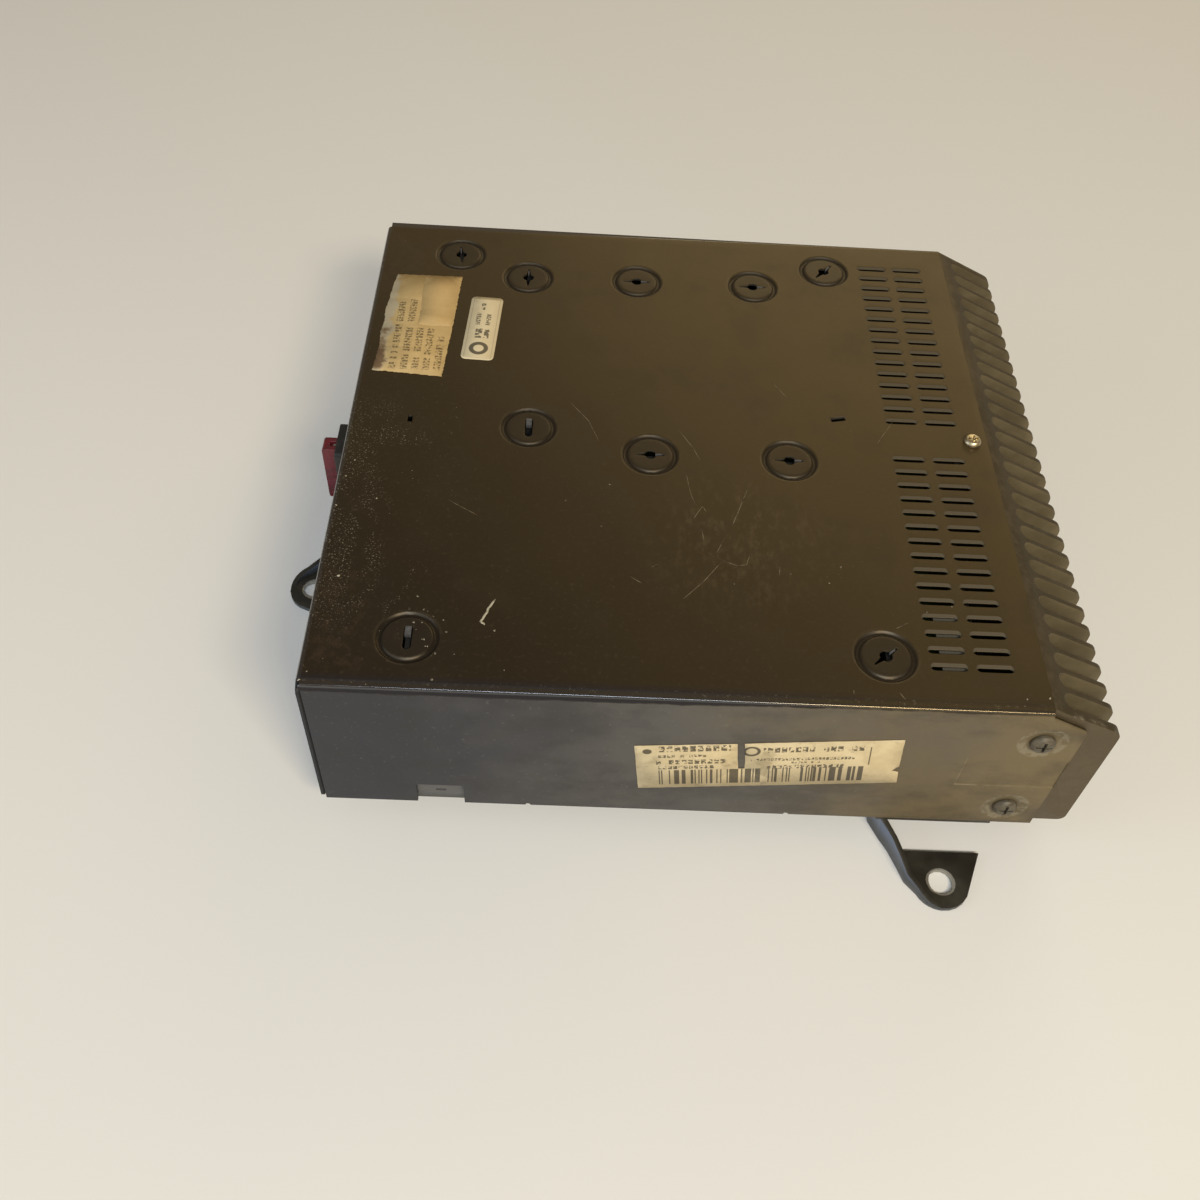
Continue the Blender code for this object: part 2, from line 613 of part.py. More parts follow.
def make_fasteners(zinc, black_zinc, brass):
    seat = DIMPLE_DEPTH - SKIN_GAP
    for end, y, out in (("front", seat, -1.0), ("rear", CASE_DEPTH - seat, 1.0)):
        for height, z in zip(("upper", "lower"), END_SCREW_Z):
            make_screw(f"{end}_screw_{height}", black_zinc, (END_SCREW_X, y, z), (0.0, out, 0.0))
    make_screw("top_screw", brass, (*TOP_SCREW, SKIN_GAP), (0.0, 0.0, 1.0),
               head_r=2.4, head_high=1.7, shaft=9.0)
    under = -CASE_HEIGHT - GAP - BRACKET_SHEET - SKIN_GAP
    for number, (x, y) in enumerate(BRACKET_SCREWS, 1):
        make_screw(f"bracket_screw_{number}", zinc, (x, y, under), (0.0, 0.0, -1.0), shaft=6.0)
    for number, (x, y) in enumerate(BRACKET_RIVETS, 1):
        make_rivet(f"bracket_rivet_{number}", zinc, x, y)
    for number, (x, y) in enumerate(PCB_SCREWS, 1):
        make_screw(f"board_screw_{number}", zinc, (x, y, BOARD_TOP_Z + SKIN_GAP), (0.0, 0.0, 1.0),
                   head_r=2.8, head_high=1.8, shaft=8.6, segments=10)
    for number, y in enumerate(CLAMP_SCREW_ROWS, 1):
        make_screw(f"clamp_screw_{number}", zinc, (CLAMP_BAR_X[0] - SKIN_GAP, y, CLAMP_Z), (-1.0, 0.0, 0.0),
                   head_r=2.8, head_high=1.8, shaft=10.0, segments=10)


# ---- labels ------------------------------------------------------------------------------------------
def make_labels(paper):
    low, high = SKIN_GAP, SKIN_GAP + 0.15
    torn = [(6.0, 153.3), (5.4, 146.6), (4.6, 140.0), (5.2, 131.0), (4.2, 124.0), (4.6, 115.0), (3.9, 108.9),
            (14.0, 108.2), (23.8, 107.4), (24.9, 130.0), (25.8, 153.3)]
    make_piece("label_large", paper, lambda bm: add_prism(bm, torn, "Z", low, high))

    def small(bm):
        verts = add_prism(bm, rounded_box((-4.75, -14.3), (4.75, 14.3), 1.5), "Z", low, high)
        tilt = Matrix.Translation((33.7, 129.7, 0.0)) @ Matrix.Rotation(math.radians(-2.6), 4, "Z")
        bmesh.ops.transform(bm, matrix=tilt, verts=verts)
    make_piece("label_small", paper, small)

    def front(bm):
        """A long label with a slit from its upper edge and a torn right edge."""
        outline = [(79.8, -20.2), (82.0, -40.4), (147.3, -32.9), (146.4, -27.8),
                   (144.6, -27.3), (146.0, -25.2),
                   (144.7, -13.0), (106.5, -17.5), (108.0, -29.0), (106.3, -29.2), (104.8, -17.7)]
        add_prism(bm, outline, "Y", -high, -low)
    make_piece("label_front", paper, front)


# ---- inner frames ------------------------------------------------------------------------------------
def lug_place(name):
    """The middle of a disc's lug, its direction, and its length, thickness and rise."""
    x, y, degrees, lug = DISCS[name]
    turn, offset = math.radians(degrees), LUG_OFFSET[lug]
    return x + offset * math.cos(turn), y + offset * math.sin(turn), degrees, lug


def lug_shapes(names):
    def draw(bm):
        for name in names:
            x, y, degrees, (length, thick, rise) = lug_place(name)
            add_prism(bm, turned_rectangle(x, y, length, thick, degrees), "Z", -6.0, rise)
    return draw


def lug_feet(names, wall_x):
    """Short steps that carry lugs standing beside a wall that runs along y."""
    def draw(bm):
        for name in names:
            x, y, _, _ = lug_place(name)
            low, high = min(x, wall_x) - 0.5, max(x, wall_x) + 0.5
            add_block(bm, (low, y - 1.2, -5.0), (high, y + 1.2, UNDER_COVER_Z - 0.3))
    return draw


def make_frames(steel):
    half = FRAME_SHEET / 2
    for name, wall_x, lugs in (("left_frame", 24.5, ("left_front", "left_rear")),
                               ("right_frame", 140.0, ("right_front", "right_rear"))):
        def wall(bm, x=wall_x):
            add_block(bm, (x - half, 8.0, ON_BOARD_Z), (x + half, 172.0, UNDER_COVER_Z))

        def windows(bm, x=wall_x):
            for y in (48.0, 90.0, 132.0):
                window = rounded_box((y - 14.0, ON_BOARD_Z + 7.0), (y + 14.0, -9.0), 3.0, 2)
                add_prism(bm, window, "X", x - 3.0, x + 3.0)
        make_piece(name, steel, wall, add=(lug_shapes(lugs), lug_feet(lugs, wall_x)), cut=(windows,))

    left_x, right_x, front_y, rear_y = 47.75, 128.0, 80.0, 155.5

    def shield(bm):
        outline = [(left_x - half, front_y - half), (right_x, front_y - half), (right_x, front_y + half),
                   (left_x + half, front_y + half), (left_x + half, rear_y - half), (right_x, rear_y - half),
                   (right_x, rear_y + half), (left_x - half, rear_y + half)]
        add_prism(bm, outline, "Z", ON_BOARD_Z, UNDER_COVER_Z)
    on_y_wall = ("shield_left_rear", "shield_left_front")
    on_x_walls = ("shield_rear_1", "shield_rear_2", "shield_front_1", "shield_front_2")
    make_piece("shield_frame", steel, shield,
               add=(lug_shapes(on_y_wall + on_x_walls), lug_feet(on_y_wall, left_x)))


# ---- board and electronics ---------------------------------------------------------------------------
def make_board(board):
    def sheet(bm):
        (x0, y0), (x1, y1) = BOARD
        add_prism(bm, rounded_box((x0, y0), (x1, y1), 2.0, 2), "Z", BOARD_TOP_Z - BOARD_THICK, BOARD_TOP_Z)

    def holes(bm):
        for x, y in PCB_SCREWS:
            add_prism(bm, arc(x, y, SCREW_HOLE_R, 0, 330, 11), "Z", BOARD_TOP_Z - 4.0, BOARD_TOP_Z + 2.0)
    make_piece("main_board", board, sheet, cut=(holes,))
    make_piece("preamp_board", board,
               lambda bm: add_block(bm, (56.0, 117.2, ON_BOARD_Z), (120.0, 118.8, -12.0)))


def make_card(card):
    """A light card glued under the cover, which shows through the front vents of the left column."""
    (x0, y0), (x1, y1) = CARD
    top = -SHEET - SKIN_GAP
    make_piece("insulating_card", card, lambda bm: add_block(bm, (x0, y0, top - CARD_THICK), (x1, y1, top)))


def make_spacers(brass):
    low, high = TRAY_FLOOR_Z + SKIN_GAP, BOARD_TOP_Z - BOARD_THICK - SKIN_GAP
    for number, (x, y) in enumerate(PCB_SCREWS, 1):
        tube = [(SCREW_HOLE_R, low), (3.2, low), (3.2, high), (SCREW_HOLE_R, high)]
        make_piece(f"board_spacer_{number}", brass,
                   lambda bm, centre=(x, y, 0.0): add_turned(bm, tube, 12, centre), anchor=(x, y, low))


def make_power_stage(black, steel, pad):
    face = SINK_WALL[0]
    for number, y in enumerate(IC_ROWS, 1):
        def package(bm, y=y):
            add_block(bm, (face - 5.2, y - 10.0, -33.5), (face - 0.9, y + 10.0, -13.5))

        def legs(bm, y=y):
            for step in range(-2, 3):
                middle = y + 3.4 * step
                add_block(bm, (face - 3.6, middle - 0.5, ON_BOARD_Z), (face - 2.9, middle + 0.5, -32.0))
        make_piece(f"power_chip_{number}", black, package, add=(legs,))
    make_piece("insulating_pad", pad,
               lambda bm: add_block(bm, (face - 0.6, 36.0, -34.5), (face - 0.3, 144.0, -22.5)))

    def bar(bm):
        add_block(bm, (CLAMP_BAR_X[0], 38.0, CLAMP_Z - 4.5), (CLAMP_BAR_X[1], 142.0, CLAMP_Z + 4.5))

    def bar_holes(bm):
        for y in CLAMP_SCREW_ROWS:
            add_prism(bm, arc(y, CLAMP_Z, SCREW_HOLE_R, 0, 330, 11), "X", face - 9.0, face - 4.0)
    make_piece("clamp_bar", steel, bar, cut=(bar_holes,))


def make_capacitor(name, sleeve, x, y, radius, height):
    base, top = ON_BOARD_Z, ON_BOARD_Z + height
    profile = [(0.0, base), (radius, base), (radius, base + 2.2), (radius - 0.7, base + 3.0),
               (radius, base + 3.8), (radius, top - 0.6), (radius - 0.6, top),
               (radius - 1.4, top - 0.5), (0.0, top - 0.5)]
    make_piece(name, sleeve, lambda bm: add_turned(bm, profile, 14, (x, y, 0.0)), anchor=(x, y, base))


def make_passives(sleeve, ferrite, copper, relay_case):
    for number, (x, y, radius, height) in enumerate(((100.0, 30.0, 9.0, 36.0), (122.0, 30.0, 9.0, 36.0),
                                                     (104.0, 56.0, 6.5, 25.0)), 1):
        make_capacitor(f"capacitor_{number}", sleeve, x, y, radius, height)
    x, y, base = 66.0, 34.0, ON_BOARD_Z
    drum = [(0.0, base), (12.0, base), (12.0, base + 2.5), (5.0, base + 2.5),
            (5.0, base + 15.5), (12.0, base + 15.5), (12.0, base + 18.0), (0.0, base + 18.0)]
    coil = [(5.4, base + 2.9), (11.0, base + 2.9), (11.0, base + 15.1), (5.4, base + 15.1)]
    make_piece("choke_core", ferrite, lambda bm: add_turned(bm, drum, 16, (x, y, 0.0)), anchor=(x, y, base))
    make_piece("choke_winding", copper, lambda bm: add_turned(bm, coil, 16, (x, y, 0.0)), anchor=(x, y, base))
    relay_outline = rounded_box((35.0, 24.0), (50.0, 44.0), 1.5, 2)
    make_piece("relay", relay_case, lambda bm: add_prism(bm, relay_outline, "Z", ON_BOARD_Z, -25.0))


# ---- sockets and fuse --------------------------------------------------------------------------------
SOCKETS = {
    # name: (low y, high y, low z, high z, pin columns, pin rows)
    "signal_socket": (30.0, 60.0, -34.0, -16.0, 7, 2),
    "power_socket": (106.0, 150.0, -36.0, -14.0, 6, 2),
}
SOCKET_FACE_X = -1.6
SOCKET_BACK_X = 14.0
WINDOW_GAP = 0.3


def fuse_holder_box():
    return (FUSE_Y - HOLDER_HALF_Y, FUSE_Y + HOLDER_HALF_Y, FUSE_Z - HOLDER_HALF_Z, FUSE_Z + HOLDER_HALF_Z)


def socket_windows_list():
    """The tray's windows: every socket's outline and the fuse holder's, with room round them."""
    boxes = [values[:4] for values in SOCKETS.values()] + [fuse_holder_box()]
    return [(y0 - WINDOW_GAP, y1 + WINDOW_GAP, z0 - WINDOW_GAP, z1 + WINDOW_GAP) for y0, y1, z0, z1 in boxes]


def make_sockets(plastic):
    wall = 1.6
    for name, (y0, y1, z0, z1, columns, rows) in SOCKETS.items():
        def shell(bm):
            add_prism(bm, rounded_box((y0, z0), (y1, z1), 2.0), "X", SOCKET_FACE_X, SOCKET_BACK_X)

        def cavity(bm):
            inside = rounded_box((y0 + wall, z0 + wall), (y1 - wall, z1 - wall), 1.2)
            add_prism(bm, inside, "X", SOCKET_FACE_X - 1.0, SOCKET_BACK_X - 3.0)

        def keyway(bm):
            middle = (y0 + y1) / 2
            add_block(bm, (SOCKET_FACE_X - 1.0, middle - 2.5, z1 - wall - 0.5),
                      (SOCKET_BACK_X - 6.0, middle + 2.5, z1 - 0.6))

        socket = make_piece(name, plastic, shell, cut=(cavity, keyway))

        def pins(bm):
            for column in range(columns):
                for row in range(rows):
                    y = y0 + (y1 - y0) * (column + 0.5 + 0.35 * (3 - column) / columns) / columns
                    z = z0 + (z1 - z0) * (0.34 + 0.32 * row)
                    add_block(bm, (4.0, y - 0.5, z - 0.5), (SOCKET_BACK_X - 2.0, y + 0.5, z + 0.5))
        combine(socket, f"{name}_pins", pins, "UNION")


def make_fuse(red, metal, plastic):
    body_end = FUSE_TIP_X + FUSE_BODY
    half_y, half_z = FUSE_THICK / 2, FUSE_WIDTH / 2
    anchor = (FUSE_TIP_X, FUSE_Y, FUSE_Z)

    def body(bm):
        """A head that grips in the fingers, then a slightly narrower housing for the blades."""
        shoulder = 4.5
        outline = ([(FUSE_TIP_X + 0.5, -half_z), (FUSE_TIP_X + shoulder, -half_z),
                    (FUSE_TIP_X + shoulder, -half_z + 1.0), (body_end, -half_z + 1.0)])
        outline += [(x, -z) for x, z in reversed(outline)]
        outline += [(FUSE_TIP_X, half_z - 0.6), (FUSE_TIP_X, -half_z + 0.6)]
        add_prism(bm, [(x, z + FUSE_Z) for x, z in outline], "Y", FUSE_Y - half_y, FUSE_Y + half_y)

    def chamber(bm):
        """The hollow the metal strip sits in, open towards the holder."""
        reach = BLADE_SPREAD + BLADE_WIDTH / 2 + 0.55
        add_block(bm, (FUSE_TIP_X + 2.2, FUSE_Y - 0.8, FUSE_Z - reach),
                  (body_end + 1.0, FUSE_Y + 0.8, FUSE_Z + reach))

    make_piece("fuse_body", red, body, cut=(chamber,), anchor=anchor)

    def strip(bm):
        """Two blades joined by the narrow link that melts."""
        reach = body_end + BLADE_LENGTH
        outer, inner = BLADE_SPREAD + BLADE_WIDTH / 2, BLADE_SPREAD - BLADE_WIDTH / 2
        start = FUSE_TIP_X + 3.0
        half_side = [(start + 4.2, 0.5), (start + 2.4, inner - 0.6), (start + 4.2, inner),
                     (reach - 0.8, inner),
                     (reach, inner + 0.8), (reach, outer - 0.8), (reach - 0.8, outer), (start, outer),
                     (start, inner - 1.6), (start + 2.8, 0.5)]
        mirrored = [(x, -z) for x, z in reversed(half_side)]
        outline = [(x, z + FUSE_Z) for x, z in half_side + mirrored]
        add_prism(bm, outline, "Y", FUSE_Y - BLADE_THICK / 2, FUSE_Y + BLADE_THICK / 2)
    make_piece("fuse_strip", metal, strip, anchor=anchor)

    low_y, high_y, low_z, high_z = fuse_holder_box()

    def holder(bm):
        outline = rounded_box((low_y, low_z), (high_y, high_z), 1.2)
        add_prism(bm, outline, "X", HOLDER_FACE_X, HOLDER_FACE_X + HOLDER_DEPTH)

    def pocket(bm):
        add_block(bm, (HOLDER_FACE_X - 1.0, FUSE_Y - half_y - 0.4, FUSE_Z - half_z - 0.4),
                  (body_end + 0.4, FUSE_Y + half_y + 0.4, FUSE_Z + half_z + 0.4))

    def blade_slits(bm):
        for side in (-1.0, 1.0):
            z = FUSE_Z + side * BLADE_SPREAD
            add_block(bm, (body_end - 1.0, FUSE_Y - 0.9, z - BLADE_WIDTH / 2 - 0.4),
                      (body_end + BLADE_LENGTH + 0.5, FUSE_Y + 0.9, z + BLADE_WIDTH / 2 + 0.4))
    make_piece("fuse_holder", plastic, holder, cut=(pocket, blade_slits))


# ---- the whole amplifier -----------------------------------------------------------------------------
def main():
    clear_scene()
    case_paint = make_material("case_paint", (0.040, 0.032, 0.022), 0.42)
    tray_paint = make_material("tray_paint", (0.045, 0.042, 0.038), 0.5)
    sink_paint = make_material("sink_paint", (0.10, 0.085, 0.05), 0.5)
    bracket_paint = make_material("bracket_paint", (0.05, 0.048, 0.04), 0.45)
    paper = make_material("paper", (0.55, 0.43, 0.24), 0.8)
    steel = make_material("plated_steel", (0.55, 0.55, 0.52), 0.4, 1.0)
    black_zinc = make_material("black_zinc", (0.08, 0.07, 0.06), 0.4, 1.0)
    brass = make_material("brass", (0.62, 0.48, 0.24), 0.35, 1.0)
    board = make_material("board", (0.10, 0.16, 0.05), 0.55)
    black_plastic = make_material("black_plastic", (0.02, 0.02, 0.022), 0.5)
    red_plastic = make_material("red_plastic", (0.24, 0.03, 0.035), 0.3)
    sleeve = make_material("capacitor_sleeve", (0.02, 0.03, 0.09), 0.4)
    ferrite = make_material("ferrite", (0.06, 0.06, 0.065), 0.6)
    copper = make_material("copper_wire", (0.50, 0.20, 0.08), 0.35, 1.0)
    pad = make_material("insulating_pad", (0.45, 0.45, 0.48), 0.7)
    card = make_material("insulating_card", (0.30, 0.28, 0.22), 0.8)

    make_cover(case_paint)
    make_tray(tray_paint)
    make_heat_sink(sink_paint)
    make_bracket(bracket_paint)
    make_fasteners(steel, black_zinc, brass)
    make_labels(paper)
    make_frames(steel)
    make_board(board)
    make_card(card)
    make_spacers(brass)
    make_power_stage(black_plastic, steel, pad)
    make_passives(sleeve, ferrite, copper, black_plastic)
    make_sockets(black_plastic)
    make_fuse(red_plastic, steel, black_plastic)


main()
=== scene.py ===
"""The car amplifier's looks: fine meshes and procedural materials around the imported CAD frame.

Shapes are written in the CAD's case coordinates, in millimetres: x runs right from the case's left
edge, y back from its front face, z up from its top panel. at() turns them into the row frame.
"""
import math
import random

import bmesh
import bpy
from mathutils import Matrix, Vector
from mathutils.geometry import delaunay_2d_cdt


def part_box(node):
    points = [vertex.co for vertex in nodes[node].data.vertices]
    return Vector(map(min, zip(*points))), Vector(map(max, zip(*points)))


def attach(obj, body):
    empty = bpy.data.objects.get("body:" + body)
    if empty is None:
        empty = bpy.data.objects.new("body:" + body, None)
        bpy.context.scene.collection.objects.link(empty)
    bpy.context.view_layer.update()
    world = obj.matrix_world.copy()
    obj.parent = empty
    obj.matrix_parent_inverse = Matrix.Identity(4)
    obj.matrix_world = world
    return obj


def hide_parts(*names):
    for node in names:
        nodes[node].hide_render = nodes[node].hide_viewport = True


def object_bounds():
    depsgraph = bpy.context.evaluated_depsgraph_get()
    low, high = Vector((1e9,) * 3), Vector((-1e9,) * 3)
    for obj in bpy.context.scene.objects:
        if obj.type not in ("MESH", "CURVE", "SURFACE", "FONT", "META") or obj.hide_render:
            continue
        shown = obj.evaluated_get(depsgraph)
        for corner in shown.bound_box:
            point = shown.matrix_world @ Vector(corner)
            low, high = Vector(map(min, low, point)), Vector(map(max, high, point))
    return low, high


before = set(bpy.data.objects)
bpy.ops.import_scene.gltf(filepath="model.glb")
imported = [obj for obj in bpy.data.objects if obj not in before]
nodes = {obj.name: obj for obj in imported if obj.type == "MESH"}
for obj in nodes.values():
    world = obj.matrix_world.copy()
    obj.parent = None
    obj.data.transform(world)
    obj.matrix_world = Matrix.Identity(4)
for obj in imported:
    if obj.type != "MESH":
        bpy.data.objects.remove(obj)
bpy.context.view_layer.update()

MM = 0.001
FORWARDS = (0.0, -1.0, 0.0)
COVER_LOW, COVER_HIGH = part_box("top_cover")
CASE_LEFT, CASE_FRONT, CASE_TOP = COVER_LOW.x, COVER_LOW.y, COVER_HIGH.z
DEPTH = (COVER_HIGH.y - COVER_LOW.y) / MM
FLANGE_RIGHT = (COVER_HIGH.x - COVER_LOW.x) / MM
FLANGE_BOTTOM = (COVER_LOW.z - COVER_HIGH.z) / MM
WIDTH = 177.2
LABEL_GAP = 0.08
END_SCREW_X, END_SCREW_HEIGHTS = 178.0, (-12.7, -43.4)
TOP_SCREW = (172.8, 90.0)
EAR_HOLES = ((163.4, -13.8), (163.4, DEPTH + 13.8), (-15.0, 76.5))
PRESSED_LEFT, PRESSED_BOTTOM, PRESSED_TOP = 162.0, -33.0, -21.0


def at(x, y, z=0.0):
    """Case coordinates in millimetres to the row frame in metres."""
    return Vector((CASE_LEFT + x * MM, CASE_FRONT + y * MM, CASE_TOP + z * MM))


def baked(name, bm):
    """A mesh made from a bmesh, which is then freed."""
    mesh = bpy.data.meshes.new(name)
    bm.to_mesh(mesh)
    bm.free()
    return mesh


# ---- camera, light and floor ----
def make_camera():
    camera = bpy.data.cameras.new("camera")
    camera.sensor_width = 36.0
    camera.lens = 37.12
    camera.clip_start, camera.clip_end = 0.01, 20.0
    holder = bpy.data.objects.new("camera", camera)
    bpy.context.collection.objects.link(holder)
    forward = Vector((0.02561, 0.62506, -0.78015)).normalized()
    right = Vector((0.99885, 0.01568, 0.04535)).normalized()
    up = right.cross(forward)
    turn = Matrix((right, up, -forward)).transposed().to_4x4()
    holder.matrix_world = Matrix.Translation(at(62.3, -161.1, 236.8)) @ turn
    bpy.context.scene.camera = holder


def add_softbox(name, place, aim, size, power, colour):
    light = bpy.data.lights.new(name, "AREA")
    light.shape = "RECTANGLE"
    light.size, light.size_y = size
    light.energy = power
    light.color = colour
    holder = bpy.data.objects.new(name, light)
    bpy.context.collection.objects.link(holder)
    holder.location = place
    holder.rotation_euler = (Vector(aim) - Vector(place)).to_track_quat("-Z", "Y").to_euler()


def make_studio():
    """Two small windows in front, cool on the left and warm on the right, and a warm glow behind."""
    world = bpy.data.worlds.new("studio")
    world.use_nodes = True
    background = world.node_tree.nodes["Background"]
    background.inputs["Color"].default_value = (1.0, 0.88, 0.7, 1.0)
    background.inputs["Strength"].default_value = 0.2
    bpy.context.scene.world = world
    bpy.context.scene.view_settings.view_transform = "Standard"
    middle = (0.0, 0.0, 0.03)
    add_softbox("cool_window", (-0.05, -0.95, 1.02), middle, (0.4, 0.22), 7.6, (0.84, 0.92, 1.0))
    add_softbox("warm_window", (0.42, -0.92, 0.98), middle, (0.4, 0.22), 8.4, (1.0, 0.84, 0.58))
    add_softbox("warm_glow", (0.45, 1.1, 0.7), middle, (1.0, 0.5), 2.6, (1.0, 0.78, 0.42))
    add_softbox("cool_side", (-1.2, -0.4, 0.5), middle, (0.7, 0.7), 3.0, (0.72, 0.86, 1.0))
    bm = bmesh.new()
    bmesh.ops.create_grid(bm, x_segments=1, y_segments=1, size=4.0)
    mesh = baked("floor", bm)
    floor = bpy.data.objects.new("floor", mesh)
    bpy.context.collection.objects.link(floor)
    floor.location.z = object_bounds()[0].z - 0.0002
    mesh.materials.append(Graph("floor", Base_Color=(0.86, 0.85, 0.83, 1.0), Roughness=0.9).material)


# ---- shader graphs ----
class Graph:
    """A material's node tree, with one short call for each node."""

    def __init__(self, name, **uniform):
        self.material = bpy.data.materials.new(name)
        self.material.use_nodes = True
        self.tree = self.material.node_tree
        self.shader = self.tree.nodes["Principled BSDF"]
        for socket, value in uniform.items():
            self.shader.inputs[socket.replace("_", " ")].default_value = value
        coordinates = self.tree.nodes.new("ShaderNodeTexCoord").outputs["Object"]
        self.place = self.node("ShaderNodeMapping", {}, Vector=coordinates, Scale=(1000.0,) * 3,
                               Location=tuple(-c / MM for c in at(0.0, 0.0)))
        split = self.tree.nodes.new("ShaderNodeSeparateXYZ")
        self.tree.links.new(self.place, split.inputs[0])
        self.x, self.y, self.z = split.outputs

    def node(self, kind, settings, output=0, **inputs):
        made = self.tree.nodes.new(kind)
        for name, value in settings.items():
            setattr(made, name, value)
        for name, value in inputs.items():
            socket = made.inputs[int(name[1:])] if name[1:].isdigit() else made.inputs[name]
            if isinstance(value, bpy.types.NodeSocket):
                self.tree.links.new(value, socket)
            else:
                socket.default_value = value
        return made.outputs[output]

    def math(self, operation, a, b=0.0, c=0.0):
        return self.node("ShaderNodeMath", {"operation": operation}, _0=a, _1=b, _2=c)

    def add(self, a, b):
        return self.math("ADD", a, b)

    def times(self, a, b):
        return self.math("MULTIPLY", a, b)

    def most(self, a, b):
        return self.math("MAXIMUM", a, b)

    def invert(self, a):
        return self.math("SUBTRACT", 1.0, a)

    def step(self, value, low, high):
        """0 below low, 1 above high, smooth between; low may be the higher one."""
        first, last = (0.0, 1.0) if low < high else (1.0, 0.0)
        return self.node("ShaderNodeMapRange", {"interpolation_type": "SMOOTHSTEP"}, Value=value,
                         _1=min(low, high), _2=max(low, high), _3=first, _4=last)

    def noise(self, scale, detail=4.0, roughness=0.55, stretch=(1.0, 1.0, 1.0), shift=0.0):
        """Noise whose features are about 1 / scale millimetres across."""
        place = self.node("ShaderNodeMapping", {}, Vector=self.place, Scale=stretch, Location=(shift,) * 3)
        return self.node("ShaderNodeTexNoise", {}, Vector=place, Scale=scale, Detail=detail,
                         Roughness=roughness)

    def mix(self, factor, a, b):
        made = self.tree.nodes.new("ShaderNodeMix")
        made.data_type = "RGBA"
        for socket, value in ((made.inputs[0], factor), (made.inputs[6], a), (made.inputs[7], b)):
            if isinstance(value, bpy.types.NodeSocket):
                self.tree.links.new(value, socket)
            else:
                socket.default_value = value if socket.name == "Factor" else (*value, 1.0)
        return made.outputs[2]

    def lerp(self, factor, a, b):
        """a where the factor is 0 and b where it is 1, as plain numbers."""
        return self.node("ShaderNodeMapRange", {"clamp": True}, Value=factor, _1=0.0, _2=1.0, _3=a, _4=b)

    def facing(self, axis, low, high):
        """A mask of the faces whose normal points along an axis."""
        normal = self.node("ShaderNodeNewGeometry", {}, output=1)
        part = self.node("ShaderNodeVectorMath", {"operation": "DOT_PRODUCT"}, output=1, _0=normal, _1=axis)
        return self.step(part, low, high)

    def finish(self, **sockets):
        for name, value in sockets.items():
            self.tree.links.new(value, self.shader.inputs[name.replace("_", " ")])
        return self.material

    def bump(self, height, distance):
        return self.node("ShaderNodeBump", {}, Height=height, Distance=distance * MM, Strength=1.0)


def near_point(g, x, y, z, centre):
    """Distance in millimetres from a centre; pass 0.0 for a coordinate that doesn't count."""
    place = g.node("ShaderNodeCombineXYZ", {}, X=x, Y=y, Z=z)
    return g.node("ShaderNodeVectorMath", {"operation": "DISTANCE"}, output=1, _0=place, _1=centre)


def dust_film_and_painted_light(g):
    """The dull dust film on upright faces, with smears; its bluish grey on the left and warm tone on the
    right are painted cool and warm light.
    """
    drift = g.times(g.add(g.noise(0.03, 3.0, 0.6, shift=83.0), -0.5), 0.5)
    along = g.math("MULTIPLY_ADD", g.x, 1.0 / FLANGE_RIGHT, drift)
    # painted light: bluish grey on the left and warm on the right, as the cool and warm windows light the
    # front
    film = g.mix(g.step(along, 0.12, 0.55), FILM_LEFT_COOL_LIT, FILM_MIDDLE)
    film = g.mix(g.step(along, 0.5, 0.98), film, FILM_RIGHT_WARM_LIT)
    smear = g.noise(0.05, 5.0, 0.65, stretch=(1.0, 1.0, 1.6), shift=31.0)
    film = g.mix(g.times(g.step(smear, 0.58, 0.3), 0.45), film, tuple(0.35 * c for c in FILM_MIDDLE))
    grit = g.step(g.noise(0.9, 3.0, 0.6, shift=37.0), 0.6, 0.78)
    return g.mix(g.times(grit, 0.25), film, tuple(2.2 * c for c in FILM_MIDDLE))


VENT_COLUMNS = ((149.5, 158.4), (160.6, 169.5))
VENT_START, VENT_PITCH, VENT_ROWS = 12.5, 5.0, 15
# how much longer than the slot, how wide and how far back each of a vent's loops is, and its rise
VENT_LOOPS = ((0.5, 2.5, 0.0, 0.0), (0.3, 2.3, -0.02, -0.08), (-0.1, 1.45, -0.38, -0.42),
              (-0.2, 1.3, -0.44, -0.48))
# x, y, the slot's direction in degrees from +x, and whether a broad lug stands in the slot
DISCS = ((24.5, 165.0, 98.0, False), (24.5, 15.0, 90.0, True), (46.0, 155.0, 90.0, False),
         (79.5, 155.5, 0.0, False), (115.5, 155.5, 0.0, False), (49.5, 88.5, 90.0, True),
         (83.0, 80.0, 0.0, False), (121.0, 80.0, 0.0, False), (138.5, 165.0, 50.0, False),
         (139.0, 15.0, 40.0, False))
# radius and rise of a disc's rings: a soft lip, then a groove round a flat middle
DISC_RINGS = ((9.0, 0.0), (8.3, 0.03), (7.9, 0.02), (7.6, -0.15), (7.3, -0.5), (6.9, -0.65), (6.5, -0.6),
              (6.2, -0.3), (5.9, -0.05), (5.5, 0.02), (4.8, 0.0))
# the film's colours; the bluish left one and the warm right one are painted cool and warm light
FILM_LEFT_COOL_LIT, FILM_MIDDLE, FILM_RIGHT_WARM_LIT = (0.037, 0.038, 0.044), (0.102, 0.094, 0.084), (0.168, 0.128, 0.068)
# the top's brown-black, and the lighter olive that is painted warm light on it
TOP_DARK, TOP_WARM_LIT = (0.0195, 0.0138, 0.0085), (0.06, 0.041, 0.016)
WORN = (0.3, 0.27, 0.2)


